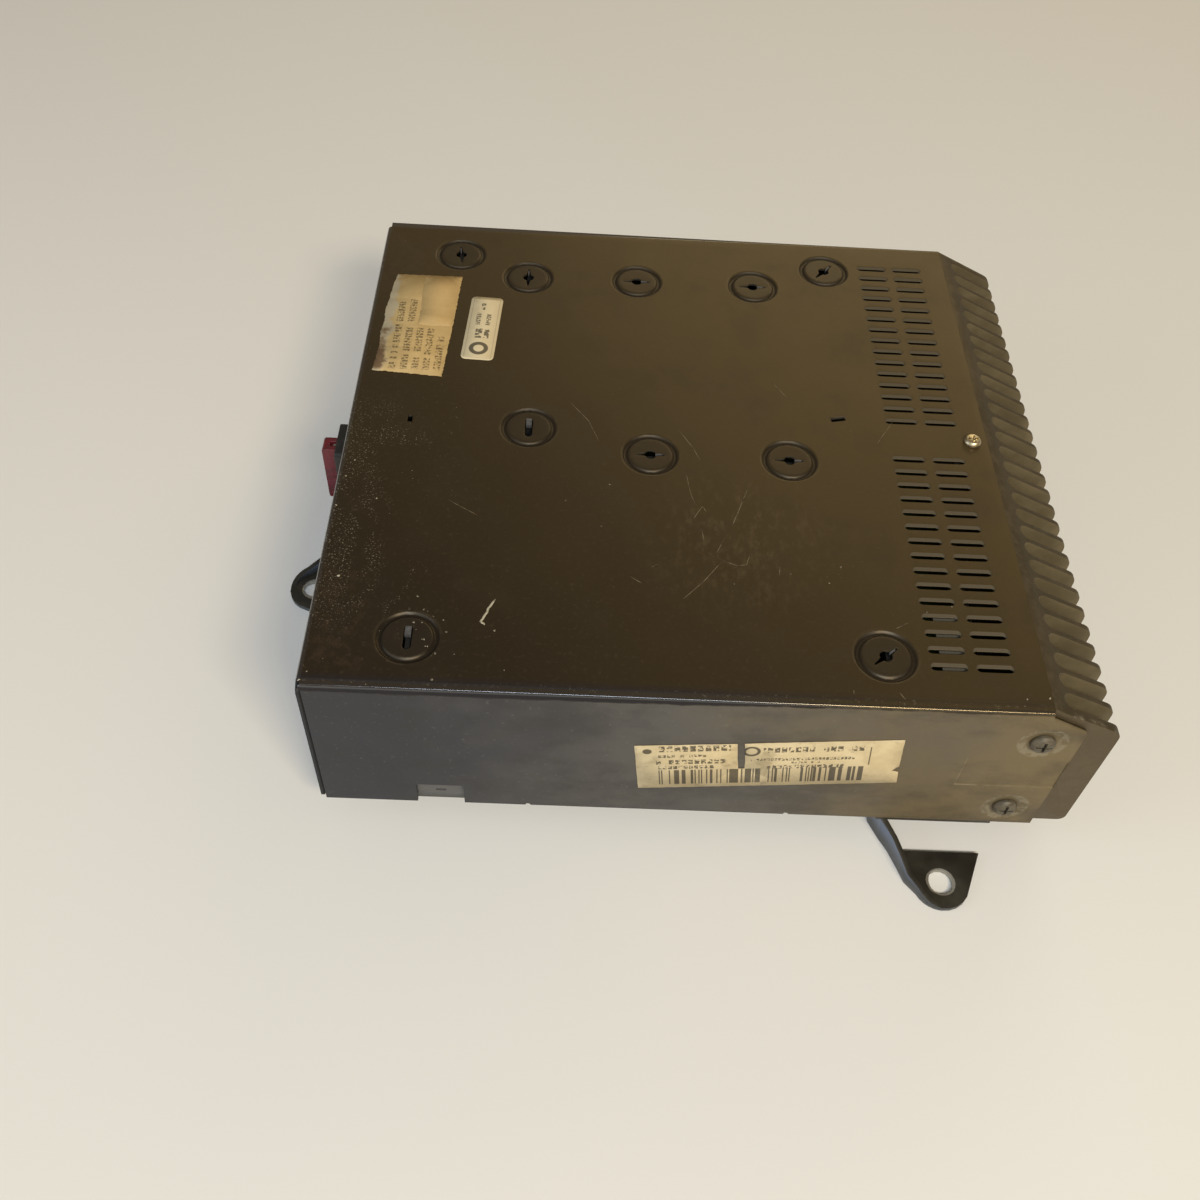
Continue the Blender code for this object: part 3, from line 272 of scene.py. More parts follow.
def case_paint():
    """Worn semi-gloss black-brown paint: dusty upright faces with painted cool and warm light, glossy bends
    with a painted dark reflection, chips along the folds, and painted light and shade on the vents, discs
    and flange lines.
    """
    g = Graph("case_paint")
    mottle, fine = g.noise(0.05, 5.0, 0.65), g.noise(0.8, 3.0, 0.6)
    from_end = g.math("MINIMUM", g.y, g.math("SUBTRACT", DEPTH, g.y))
    outside = g.most(g.step(from_end, 2.4, 1.9), g.step(g.x, 1.5, 1.2))
    # the film starts lower on the left, where more of the bend has stayed clean
    film_top = g.math("MULTIPLY_ADD", g.noise(0.12, 4.0, 0.6, shift=91.0), 1.6,
                      g.lerp(g.step(g.x, 60.0, 140.0), 1.2, 0.1))
    film = g.times(outside, g.step(g.add(g.z, film_top), 0.0, -0.7))
    clean = g.times(g.invert(film), outside)
    chip = fold_chips(g)
    base = paint_vent_light_and_shade(g, dirt_on_top(g, paint_disc_light_and_shade(g, top_colour_and_painted_light(g, mottle, fine))), outside)
    base = flange_rings_and_painted_highlights(g, g.mix(film, base, dust_film_and_painted_light(g)), outside)
    base = paint_bend_reflection(g, g.mix(g.times(chip, 0.3), base, WORN), clean)
    rough = g.add(g.lerp(mottle, 0.3, 0.44), g.times(film, 0.14))
    rough = g.lerp(clean, g.add(rough, g.times(fine, 0.05)), 0.2)
    glossy = g.times(clean, g.step(g.z, -1.1, -0.8))
    gloss = g.add(g.lerp(film, 0.42, 0.28), g.add(g.times(glossy, 0.9), g.times(clean, -0.15)))
    # painted reflection colour: the clean bends' and dusty faces' highlights are tinted cool on the left
    # and warm on the right, like the two windows; the top's are tinted warm
    painted_highlight_tint = g.mix(g.step(g.x, 95.0, 140.0), (0.88, 0.92, 1.0), (1.0, 0.84, 0.56))
    tint = g.mix(g.most(clean, film), (1.0, 0.82, 0.58), painted_highlight_tint)
    dents = g.times(g.noise(0.025, 2.0, 0.5, shift=61.0), 5.0)
    relief = g.add(g.times(g.noise(0.9, 3.0, 0.5, shift=41.0), 0.5), dents)
    relief = g.times(g.add(relief, g.times(chip, -1.5)), g.lerp(clean, 1.0, 0.4))
    return g.finish(Base_Color=base, Roughness=rough, Specular_Tint=tint, Specular_IOR_Level=gloss,
                    Normal=g.bump(relief, 0.03))


def top_colour_and_painted_light(g, mottle, fine):
    """Brown-black on the left and front; the lighter olive towards the rear right is painted warm light."""
    # painted warm light, growing towards the rear right
    reach = g.math("MULTIPLY_ADD", g.noise(0.018, 3.0, 0.5, shift=3.0), 70.0, g.add(g.x, g.y))
    base = g.mix(g.step(reach, 50.0, 300.0), TOP_DARK, TOP_WARM_LIT)
    base = g.mix(g.times(g.step(mottle, 0.48, 0.72), 0.4), base, tuple(1.8 * c for c in TOP_DARK))
    return g.mix(g.times(g.step(fine, 0.55, 0.8), 0.3), base, (0.085, 0.066, 0.04))


def paint_vent_light_and_shade(g, base, outside):
    """Painted light on each vent's pressed slope and the top of its rear wall, and painted shade lower in
    the hole.
    """
    vents = g.times(band(g, g.x, VENT_COLUMNS[0][0] - 1.0, VENT_COLUMNS[1][1] + 1.0), g.invert(outside))
    # painted light: paler paint where the front lamps fall on the slope and wall
    base = g.mix(g.times(vents, g.times(g.step(g.z, -0.04, -0.12), 0.9)), base, (0.092, 0.077, 0.053))
    # painted shade: near black lower down in the hole
    return g.mix(g.times(vents, g.step(g.z, -0.5, -0.56)), base, (0.007, 0.006, 0.005))


def flange_rings_and_painted_highlights(g, base, outside):
    """Paler rings round the end screws, and painted highlight lines along the pressed rectangle's edges on
    the front and rear flanges.
    """
    for height in END_SCREW_HEIGHTS:
        offset = near_point(g, g.x, 0.0, g.z, (END_SCREW_X, 0.0, height))
        broken = g.step(g.noise(0.6, 4.0, 0.7, shift=height), 0.4, 0.56)
        # a paler ring round each screw, broken up by noise
        rubbed = g.times(g.times(band(g, offset, 3.9, 6.1, 0.4), outside), broken)
        base = g.mix(g.times(rubbed, 0.45), base, WORN)
    ends = g.most(g.facing(FORWARDS, 0.8, 0.97), g.facing((0.0, 1.0, 0.0), 0.8, 0.97))
    return g.mix(g.times(ends, painted_edge_highlights(g)), base, (0.32, 0.27, 0.18))


def fold_chips(g):
    """A mask of the small chips along the front fold and the left one."""
    front_fold = g.times(g.step(g.math("ABSOLUTE", g.add(g.y, -1.9)), 1.3, 0.2), g.step(g.z, -1.2, -0.3))
    left_fold = g.times(g.step(g.x, 2.6, 0.3), g.step(g.z, -3.0, -0.8))
    chips = g.step(g.noise(0.9, 5.0, 0.75, shift=19.0), 0.58, 0.66)
    return g.times(g.most(front_fold, left_fold), chips)


def paint_bend_reflection(g, base, clean):
    """Painted dark reflection on the clean bends, blue-black, fading into the top behind the front one."""
    base = g.mix(g.times(clean, g.times(g.step(g.z, -0.1, -0.5), 0.75)), base, (0.01, 0.01, 0.014))
    # the painted dark reflection carried onto the top just behind the front bend, stronger on the left
    behind = g.times(g.step(g.y, 4.6, 2.2), g.step(g.y, 1.5, 2.0))
    return g.mix(g.times(behind, g.lerp(g.step(g.x, 80.0, 150.0), 0.6, 0.2)), base, (0.014, 0.014, 0.02))


def paint_disc_light_and_shade(g, base):
    """Darker paint inside each pressed disc, painted shade in the groove round it, a painted highlight on
    its lip broken up by noise, and painted light on faces that look forwards.
    """
    offset = 100.0
    for x, y, _, _ in DISCS:
        offset = g.math("MINIMUM", offset, near_point(g, g.x, g.y, 0.0, (x, y, 0.0)))
    ragged_ring = g.noise(0.25, 4.0, 0.65, shift=53.0)
    # darker paint inside each disc
    base = g.mix(g.times(g.step(offset, 6.6, 5.8), 0.45), base, (0.0175, 0.015, 0.0125))
    # painted shade in the groove
    base = g.mix(g.times(band(g, offset, 6.1, 7.6, 0.3), 0.8), base, (0.0085, 0.007, 0.006))
    # painted highlight on the lip, broken up by noise
    base = g.mix(g.times(g.times(band(g, offset, 7.7, 8.3, 0.25), g.step(ragged_ring, 0.38, 0.62)), 0.15),
                 base, (0.12, 0.1, 0.066))
    among_discs = g.times(g.step(g.x, 2.0, 2.6), g.step(g.x, 148.0, 147.5))
    # painted light on the faces that look forwards, below the top
    inner = g.times(g.times(g.facing(FORWARDS, 0.35, 0.75), g.step(g.y, 2.6, 3.0)),
                    g.times(g.step(g.z, -0.04, -0.12), among_discs))
    return g.mix(g.times(inner, 0.6), base, (0.085, 0.08, 0.072))


def dirt_on_top(g, base):
    """Dust specks, densest along the left edge, a scuffed patch, and brown dirt near the left corners."""
    specks = g.step(g.noise(1.6, 2.0, 0.5, shift=7.0), 0.715, 0.76)
    base = g.mix(g.times(g.times(specks, g.step(g.noise(0.04, 3.0, 0.6, shift=13.0), 0.45, 0.62)), 0.5),
                 base, (0.2, 0.17, 0.12))
    along = g.times(g.step(g.y, 8.0, 30.0), g.step(g.y, 104.0, 84.0))
    clumps = g.noise(0.11, 3.0, 0.6, stretch=(1.6, 0.8, 1.0), shift=23.0)
    clumps = g.step(g.add(clumps, g.times(g.x, -0.012)), 0.33, 0.45)
    fine = g.step(g.noise(2.1, 2.0, 0.6, shift=29.0), 0.6, 0.68)
    base = g.mix(g.times(g.times(fine, clumps), g.times(along, 0.75)), base, (0.26, 0.23, 0.17))
    scuffed = g.times(g.step(near_point(g, g.x, g.y, 0.0, (106.0, 50.0, 0.0)), 34.0, 6.0),
                      g.step(g.noise(0.35, 5.0, 0.72, stretch=(1.4, 0.7, 1.0), shift=59.0), 0.46, 0.7))
    base = g.mix(g.times(scuffed, 0.4), base, (0.11, 0.08, 0.042))
    corner = g.math("MINIMUM", near_point(g, g.x, g.times(g.y, 0.4), 0.0, (6.0, 6.0, 0.0)),
                    near_point(g, g.x, g.times(g.y, 0.5), 0.0, (9.0, 80.0, 0.0)))
    brown = g.times(g.step(corner, 13.0, 4.0), g.step(g.noise(0.35, 5.0, 0.7, shift=47.0), 0.44, 0.66))
    return g.mix(g.times(brown, 0.22), base, (0.085, 0.052, 0.032))


def painted_edge_highlights(g):
    """A mask of painted highlight lines along the pressed rectangle's edges, the lower one strongest."""
    inside_x = band(g, g.x, PRESSED_LEFT - 0.2, 188.0, 0.1)
    inside_z = band(g, g.z, PRESSED_BOTTOM - 0.3, PRESSED_TOP + 0.2, 0.1)
    top_line = g.times(band(g, g.z, PRESSED_TOP - 0.2, PRESSED_TOP + 0.1, 0.12), 0.5)
    lines = g.most(band(g, g.z, PRESSED_BOTTOM - 0.2, PRESSED_BOTTOM + 0.2, 0.15), top_line)
    left_line = g.times(band(g, g.x, PRESSED_LEFT - 0.3, PRESSED_LEFT + 0.2, 0.15), 0.6)
    lines = g.most(lines, left_line)
    # noise that breaks the painted highlight lines up
    worn = g.step(g.noise(0.3, 3.0, 0.6, shift=57.0), 0.3, 0.6)
    return g.times(g.times(lines, worn), g.times(g.times(inside_x, inside_z), 0.65))


def plain_paint(g, base, worn, roughness, shift, rubbing):
    """Finish a painted node: grit in the paint and rubbed edges, over a base colour."""
    grit = g.step(g.noise(1.3, 3.0, 0.6, shift=shift + 5.0), 0.62, 0.74)
    base = g.mix(g.times(grit, 0.25), base, worn)
    pointed = g.tree.nodes.new("ShaderNodeNewGeometry").outputs["Pointiness"]
    patchy = g.step(g.noise(0.25, 4.0, 0.65, shift=shift + 9.0), 0.42, 0.64)
    rub = g.times(g.step(pointed, 0.515, 0.56), patchy)
    base = g.mix(g.times(rub, rubbing), base, worn)
    relief = g.add(g.noise(1.1, 4.0, 0.6, shift=shift + 2.0), g.times(rub, -0.4))
    rough = g.lerp(g.noise(0.06, 5.0, 0.62, shift=shift), roughness - 0.08, roughness + 0.1)
    return g.finish(Base_Color=base, Roughness=rough, Normal=g.bump(relief, 0.05))


def tray_paint():
    """Dark paint, with a cleaner grey patch of flange behind the cover's notch."""
    g = Graph("tray_paint", Specular_IOR_Level=0.4)
    mottle = g.step(g.noise(0.06, 5.0, 0.62, shift=14.0), 0.32, 0.7)
    base = g.mix(mottle, (0.022, 0.021, 0.018), (0.04, 0.038, 0.033))
    patch = g.times(band(g, g.x, 24.0, 38.5), g.times(g.step(g.y, 4.0, 3.0), g.step(g.z, -42.0, -43.0)))
    base = g.mix(patch, base, (0.105, 0.105, 0.105))
    return plain_paint(g, base, (0.16, 0.15, 0.13), 0.45, 14.0, 0.12)


def sink_paint():
    """Olive-brown paint on the casting: dark on top; the faces between the fins that look forwards are
    painted paler as light from the front, and the end faces get a darker tone.
    """
    g = Graph("sink_paint", Specular_IOR_Level=0.4, Specular_Tint=(1.0, 0.86, 0.66, 1.0))
    mottle = g.step(g.noise(0.06, 5.0, 0.62, shift=44.0), 0.32, 0.7)
    base = g.mix(mottle, (0.046, 0.034, 0.017), (0.066, 0.049, 0.026))
    front = g.facing(FORWARDS, 0.45, 0.85)
    blotch = g.step(g.noise(0.09, 4.0, 0.6, shift=49.0), 0.35, 0.7)
    # painted light: the forward faces between the fins paler than the tops
    walls = g.mix(blotch, (0.11, 0.086, 0.047), (0.16, 0.128, 0.072))
    base = g.mix(g.times(front, g.step(g.z, 0.5, -0.5)), base, walls)
    # a darker tone on the end faces
    end = g.times(front, g.step(g.y, 3.6, 2.8))
    base = g.mix(end, base, (0.08, 0.06, 0.034))
    upper_edge = g.times(g.step(g.y, 3.4, 0.8), g.step(g.noise(0.4, 4.0, 0.7, shift=67.0), 0.52, 0.62))
    upper_edge = g.times(upper_edge, g.facing((0.3, -0.5, 0.8), 0.75, 0.92))
    base = g.mix(g.times(upper_edge, 0.6), base, WORN)
    return plain_paint(g, base, (0.15, 0.12, 0.075), 0.48, 44.0, 0.25)


def bracket_paint():
    """Dark paint on pressed steel, a painted bluish reflection of cool light on the upper part of its
    upright webs, rubbed bright in each bolt hole.
    """
    g = Graph("bracket_paint", Specular_IOR_Level=0.5)
    blotch = g.step(g.noise(0.09, 5.0, 0.6, shift=5.0), 0.35, 0.7)
    base = g.mix(blotch, (0.02, 0.018, 0.014), (0.042, 0.037, 0.028))
    flat = g.most(g.facing((0.0, 0.0, 1.0), 0.3, 0.7), g.facing((0.0, 0.0, -1.0), 0.3, 0.7))
    # painted reflection: the webs' upper part bluish, as if lit by the cool light from the left
    web = g.mix(g.step(g.z, -60.0, -54.5), (0.045, 0.05, 0.056), (0.15, 0.185, 0.26))
    base = g.mix(g.times(g.invert(flat), g.step(g.z, -53.0, -54.0)), base, web)
    worn = 0.0
    for x, y in EAR_HOLES:
        worn = g.most(worn, g.step(near_point(g, g.x, g.y, 0.0, (x, y, 0.0)), 4.4, 3.5))
    ragged_edge = g.noise(0.55, 4.0, 0.7, shift=3.0)
    worn = g.step(g.add(worn, g.times(g.add(ragged_edge, -0.5), 0.9)), 0.52, 0.7)
    base = g.mix(worn, base, (0.36, 0.35, 0.31))
    rough = g.add(g.lerp(blotch, 0.3, 0.44), g.times(worn, -0.02))
    relief = g.add(g.noise(0.8, 4.0, 0.55, shift=8.0), g.times(worn, -0.6))
    return g.finish(Base_Color=base, Roughness=rough, Metallic=g.times(worn, 0.6),
                    Normal=g.bump(relief, 0.05))


def marks_paint(name, colour, faded, scale, shift):
    """Scuffs and flecks in the paint, which fade in and out along their length."""
    g = Graph(name, Roughness=0.6)
    strong = g.step(g.noise(scale, 3.0, 0.7, shift=shift), 0.36, 0.6)
    return g.finish(Base_Color=g.mix(strong, faded, colour))


def metal(name, colour, stain, roughness, shift, metallic=1.0):
    """Plated metal, dulled in patches."""
    g = Graph(name, Metallic=metallic)
    patch = g.step(g.noise(0.5, 4.0, 0.6, shift=shift), 0.38, 0.68)
    base = g.mix(patch, colour, stain)
    rough = g.lerp(patch, roughness, roughness + 0.2)
    grain = g.noise(2.2, 3.0, 0.6, shift=shift)
    return g.finish(Base_Color=base, Roughness=rough, Normal=g.bump(grain, 0.02))


def frame_steel():
    """Plated steel; its lugs were sprayed with the cover, and its upper edge, just under the cover, is
    painted near black as shadow.
    """
    g = Graph("frame_steel")
    patch = g.step(g.noise(0.5, 4.0, 0.6, shift=3.0), 0.38, 0.68)
    bare = g.step(g.z, -0.9, -1.3)
    base = g.mix(bare, g.mix(patch, (0.06, 0.061, 0.066), (0.105, 0.106, 0.112)), (0.3, 0.29, 0.26))
    # painted shadow just under the cover
    shadowed = g.times(g.step(g.z, -0.5, -0.7), g.step(g.z, -8.0, -6.0))
    base = g.mix(shadowed, base, (0.012, 0.012, 0.012))
    metallic = g.times(g.times(bare, g.invert(shadowed)), 0.9)
    return g.finish(Base_Color=base, Roughness=g.lerp(patch, 0.38, 0.55), Metallic=metallic,
                    Normal=g.bump(g.noise(2.2, 3.0, 0.6, shift=5.0), 0.02))


def plastic(name, colour, light, roughness, shift):
    """Moulded plastic with a faint grain and dust."""
    g = Graph(name)
    dust = g.step(g.noise(0.35, 5.0, 0.7, shift=shift), 0.5, 0.75)
    base = g.mix(g.times(dust, 0.5), colour, light)
    return g.finish(Base_Color=base, Roughness=g.lerp(dust, roughness, roughness + 0.2),
                    Normal=g.bump(g.noise(3.0, 2.0, 0.5, shift=shift), 0.02))


def fuse_plastic():
    """Clear red moulding, dulled by handling."""
    g = Graph("red_plastic", Transmission_Weight=0.35, IOR=1.5)
    dirt = g.step(g.noise(0.4, 4.0, 0.6, shift=2.0), 0.42, 0.7)
    base = g.mix(dirt, (0.21, 0.016, 0.03), (0.12, 0.02, 0.026))
    return g.finish(Base_Color=base, Roughness=g.lerp(dirt, 0.28, 0.5), Normal=g.bump(g.noise(1.5), 0.02))


def board_lacquer():
    """Green lacquer over copper tracks."""
    g = Graph("board")
    tracks = g.node("ShaderNodeTexBrick", {"offset": 0.5}, output=1, Vector=g.place, Scale=0.22)
    base = g.mix(tracks, (0.035, 0.085, 0.02), (0.06, 0.13, 0.03))
    base = g.mix(g.step(g.noise(0.2), 0.4, 0.8), base, (0.09, 0.12, 0.05))
    return g.finish(Base_Color=base, Normal=g.bump(tracks, 0.05))


def wound_copper():
    """Turns of lacquered wire, 0.8 mm thick."""
    g = Graph("copper_wire", Metallic=1.0, Roughness=0.32)
    turns = g.math("SINE", g.times(g.z, 2 * math.pi / 0.8))
    base = g.mix(g.step(turns, -1.0, 0.6), (0.16, 0.05, 0.02), (0.62, 0.27, 0.11))
    return g.finish(Base_Color=base, Normal=g.bump(turns, 0.2))


# ---- label stock ----
def label_axes(g, corner, across, up):
    """Label-local coordinates in millimetres: along across and up from a corner."""
    offset = g.node("ShaderNodeVectorMath", {"operation": "SUBTRACT"}, _0=g.place, _1=corner)
    along = [g.node("ShaderNodeVectorMath", {"operation": "DOT_PRODUCT"}, output=1, _0=offset,
                    _1=tuple(Vector(direction).normalized())) for direction in (across, up)]
    return along


def band(g, value, low, high, soft=0.15):
    return g.times(g.step(value, low - soft, low + soft), g.step(value, high + soft, high - soft))


def greeked_row(g, u, v, u_range, v_range, pitch, seed):
    """A row of blots, a letter's width apart and with gaps between words, that only suggests print."""
    cells = g.add(g.times(u, 1.0 / pitch), seed)
    letter = g.node("ShaderNodeTexWhiteNoise", {"noise_dimensions": "1D"}, W=g.math("FLOOR", cells))
    body = g.times(band(g, g.math("FRACT", cells), 0.12, 0.88, 0.06), g.step(letter, 0.09, 0.11))
    blots = g.step(g.noise(1.0 / pitch, 2.0, 0.6, stretch=(1.7,) * 3, shift=seed), 0.44, 0.5)
    return g.times(g.times(body, blots), g.times(band(g, u, *u_range), band(g, v, *v_range)))


def paper(name, corner, across, up, draw, clean, aged, ink, shift, stain_amount=0.8):
    """Aged label stock with the marks that draw() gives."""
    g = Graph(name, Specular_IOR_Level=0.25)
    u, v = label_axes(g, corner, across, up)
    stain = g.step(g.noise(0.12, 6.0, 0.65, shift=shift), 0.36, 0.68)
    base = g.mix(g.times(stain, stain_amount), clean, aged)
    fibre = g.noise(1.4, 4.0, 0.7, shift=shift + 4.0)
    base = g.mix(g.times(g.step(fibre, 0.55, 0.8), 0.4), base, aged)
    marks, worn, worn_colour = draw(g, u, v)
    base = g.mix(worn, base, worn_colour)
    base = g.mix(g.times(marks, g.invert(g.times(worn, 0.7))), base, ink)
    relief = g.add(g.noise(0.7, 5.0, 0.6, shift=shift), g.times(fibre, 0.4))
    return g.finish(Base_Color=base, Roughness=g.lerp(stain, 0.5, 0.68), Normal=g.bump(relief, 0.05))


def plain_marks(g, u, v):
    return 0.0, 0.0, (0.3, 0.25, 0.15)


def large_label_marks(g, u, v):
    """Five greeked columns; the left side is scraped pale and one corner is stained red-brown."""
    marks = 0.0
    columns = ((9.2, 140.0), (12.5, 142.5), (15.7, 149.0), (18.8, 128.5), (22.0, 125.0))
    for number, (x, end) in enumerate(columns):
        column = greeked_row(g, v, u, (110.0, end), (x - 1.0, x + 1.0), 1.2, 11.0 * number + 3.0)
        marks = g.most(marks, column)
    ragged_edge = g.times(g.add(g.noise(0.22, 5.0, 0.7, shift=71.0), -0.5), 9.0)
    scraped = g.times(g.step(g.add(u, ragged_edge), 7.6, 6.6), 0.75)
    red = g.step(g.add(near_point(g, u, g.times(v, 0.35), 0.0, (4.6, 40.5, 0.0)), ragged_edge), 4.2, 1.8)
    worn_colour = g.mix(red, (0.56, 0.49, 0.35), (0.13, 0.07, 0.042))
    return g.times(marks, 0.72), g.most(scraped, g.times(red, 0.85)), worn_colour


def small_label_marks(g, u, v):
    """A ring, some greeked figures and two plain blocks inside a fine border."""
    ring = near_point(g, u, v, 0.0, (4.7, 5.0, 0.0))
    marks = band(g, ring, 1.5, 2.8)
    marks = g.most(marks, g.times(greeked_row(g, u, v, (2.4, 7.0), (9.6, 14.2), 2.6, 31.0), 0.95))
    for low, seed in ((2.4, 5.0), (5.4, 9.0)):
        marks = g.most(marks, greeked_row(g, v, u, (15.6, 21.0), (low, low + 1.4), 0.9, seed))
    marks = g.most(marks, greeked_row(g, u, v, (3.0, 6.2), (22.6, 25.6), 1.6, 17.0))
    frame_u = g.most(band(g, u, 0.75, 0.9, 0.08), band(g, u, 8.6, 8.75, 0.08))
    frame_v = g.most(band(g, v, 0.75, 0.9, 0.08), band(g, v, 27.7, 27.85, 0.08))
    within = g.times(band(g, u, 0.7, 8.8), band(g, v, 0.7, 27.9))
    border = g.times(g.most(frame_u, frame_v), within)
    marks = g.most(marks, g.times(border, 0.5))
    rubbed = g.times(g.step(g.noise(0.2, 4.0, 0.6, shift=17.0), 0.6, 0.75), 0.5)
    return g.times(marks, 0.85), rubbed, (0.3, 0.24, 0.14)


def front_label_marks(g, u, v):
    """Two greeked captions over a strip of upright bars, with a fine line at the right.

    u runs along the label's lower edge from its left corner, and v up from that edge.
    """
    bars = g.node("ShaderNodeTexWhiteNoise", {"noise_dimensions": "1D"}, W=g.math("FLOOR", g.times(u, 3.1)))
    marks = g.times(g.step(bars, 0.46, 0.48), g.times(band(g, v, 1.6, 8.4), band(g, u, 5.3, 57.5)))
    rows = (((5.0, 23.5), (17.0, 19.6), 1.9), ((5.5, 17.5), (14.3, 15.6), 1.1),
            ((4.0, 22.5), (11.2, 13.2), 1.6), ((5.5, 19.5), (8.9, 10.4), 1.3),
            ((31.5, 56.5), (15.6, 17.9), 1.7), ((28.5, 55.0), (11.8, 13.0), 0.9),
            ((38.5, 45.5), (10.4, 11.3), 0.8), ((32.5, 51.5), (8.0, 9.7), 1.4))
    for number, (u_range, v_range, pitch) in enumerate(rows):
        marks = g.most(marks, greeked_row(g, u, v, u_range, v_range, pitch, 7.0 * number + 2.0))
    marks = g.most(marks, g.times(band(g, u, 57.4, 57.7, 0.08), band(g, v, 9.0, 17.2)))
    marks = g.most(marks, band(g, near_point(g, u, v, 0.0, (28.6, 16.4, 0.0)), 1.4, 2.2))
    marks = g.most(marks, g.step(near_point(g, u, v, 0.0, (3.0, 17.4, 0.0)), 1.3, 1.0))
    rubbed = g.times(g.step(g.noise(0.13, 5.0, 0.65, shift=37.0), 0.56, 0.7), 0.5)
    return g.times(marks, 0.85), rubbed, (0.3, 0.23, 0.13)


# ---- mesh helpers ----
def finish_mesh(name, mesh, material, body="case", angle=30.0):
    """Make a mesh into a smooth-shaded piece that rides on a body."""
    made = bpy.data.objects.new(name, mesh)
    bpy.context.collection.objects.link(made)
    mesh.materials.append(material)
    mesh.shade_smooth()
    mesh.set_sharp_from_angle(angle=math.radians(angle))
    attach(made, body)
    return made


def thicken(made, name, thickness, side):
    """Give a sheet a thickness: on its upper side for 1.0, its lower for -1.0, half on each for 0.0."""
    solid = made.modifiers.new(name, "SOLIDIFY")
    solid.thickness = thickness * MM
    solid.offset = side


def circle(x, y, radius, steps):
    return [(x + radius * math.cos(2 * math.pi * i / steps), y + radius * math.sin(2 * math.pi * i / steps))
            for i in range(steps)]


def box_shape(length, width, grow):
    """A rectangle's outline about its middle, grown on each side."""
    half_x, half_y = length / 2 + grow, width / 2 + grow
    return [(-half_x, -half_y), (half_x, -half_y), (half_x, half_y), (-half_x, half_y)]


def turned(points, x, y, degrees):
    """An outline turned about its middle and moved to a place."""
    turn = math.radians(degrees)
    return [(x + a * math.cos(turn) - b * math.sin(turn), y + a * math.sin(turn) + b * math.cos(turn))
            for a, b in points]


def slot_shape(length, width):
    """A slot's outline about its middle, with round ends."""
    reach = (length - width) / 2
    right = [(reach + width / 2 * math.cos(a), width / 2 * math.sin(a))
             for a in (math.pi * (i / 6 - 0.5) for i in range(7))]
    return right + [(-a, -b) for a, b in right]


def inside(point, outline):
    """Whether a point is inside a closed outline."""
    x, y = point
    hit = False
    for (x0, y0), (x1, y1) in zip(outline, outline[1:] + outline[:1]):
        if (y0 > y) != (y1 > y) and x < (x1 - x0) * (y - y0) / (y1 - y0) + x0:
            hit = not hit
    return hit


class Blank:
    """A flat sheet with holes and pressed shapes, which is triangulated and then folded."""

    def __init__(self, outline):
        self.points, self.rises, self.edges, self.holes = [], [], [], []
        self.outline = outline
        self.loop(outline)

    def loop(self, outline, rise=0.0, closed=True):
        """A line that the triangles keep to, raised above the sheet."""
        start = len(self.points)
        count = len(outline)
        self.points += outline
        self.rises += [rise] * count
        self.edges += [(start + i, start + (i + 1) % count) for i in range(count if closed else count - 1)]

    def hole(self, *loops):
        """A punched hole from (outline, rise) pairs, the widest first and the hole's own edge last."""
        for outline, rise in loops:
            self.loop(outline, rise)
        self.holes.append(loops[-1][0])

    def build(self, name, fold):
        """A mesh of the triangulated sheet, each point put in place by fold(u, v, rise)."""
        points = [Vector(p) for p in self.points]
        placed, _, faces, origins, _, _ = delaunay_2d_cdt(points, self.edges, [], 0, 1e-5, True)
        bm = bmesh.new()
        boxes = [(min(p[0] for p in h), max(p[0] for p in h), min(p[1] for p in h), max(p[1] for p in h), h)
                 for h in self.holes]
        verts = []
        for point, origin in zip(placed, origins):
            rise = self.rises[origin[0]] if origin else 0.0
            verts.append(bm.verts.new(fold(point[0], point[1], rise)))
        for face in faces:
            middle = [sum(placed[i][axis] for i in face) / len(face) for axis in (0, 1)]
            if not inside(middle, self.outline):
                continue
            if any(low_x < middle[0] < high_x and low_y < middle[1] < high_y and inside(middle, hole)
                   for low_x, high_x, low_y, high_y, hole in boxes):
                continue
            bm.faces.new([verts[i] for i in face])
        loose = [vert for vert in bm.verts if not vert.link_faces]
        bmesh.ops.delete(bm, geom=loose, context="VERTS")
        return baked(name, bm)


# ---- top cover ----
BEND = 2.2
SIDE_BEND = 1.3
SHEET = 1.0
ARC = math.pi / 2 * BEND
SIDE_ARC = math.pi / 2 * SIDE_BEND
CREASE_LEFT = SHEET + 0.2
# x, y, length, width and direction in degrees of the two tool slots
TOOL_SLOTS = ((16.8, 90.0, 2.4, 1.2, 90.0), (136.0, 97.3, 4.0, 1.5, 12.0))
# radius and rise of the rings that make an end screw's dish
SCREW_DISH = ((6.6, 0.0), (6.0, -0.05), (5.0, -0.26), (4.2, -0.5), (3.7, -0.6))


def flange_v(z):
    """Where height z on the front flange lies on the blank."""
    return BEND - ARC - (-z - BEND)


def fold_cover(u, v, rise):
    """Blank coordinates to the row frame: bends the front and rear flanges and the left one."""
    if u < SIDE_BEND and 0.0 <= v <= DEPTH:
        run = SIDE_BEND - u
        if run < SIDE_ARC:
            angle = run / SIDE_BEND
            radius = SIDE_BEND + rise
            return at(SIDE_BEND - radius * math.sin(angle), v, -SIDE_BEND + radius * math.cos(angle))
        return at(-rise, v, -SIDE_BEND - (run - SIDE_ARC))
    from_end = min(v, DEPTH - v)
    if from_end >= BEND:
        return at(u, v, rise)
    run = BEND - from_end
    radius = BEND + rise
    if run < ARC:
        angle = run / BEND
        out, z = BEND - radius * math.sin(angle), -BEND + radius * math.cos(angle)
    else:
        out, z = -rise, -BEND - (run - ARC)
    return at(u, out if v < DEPTH / 2 else DEPTH - out, z)


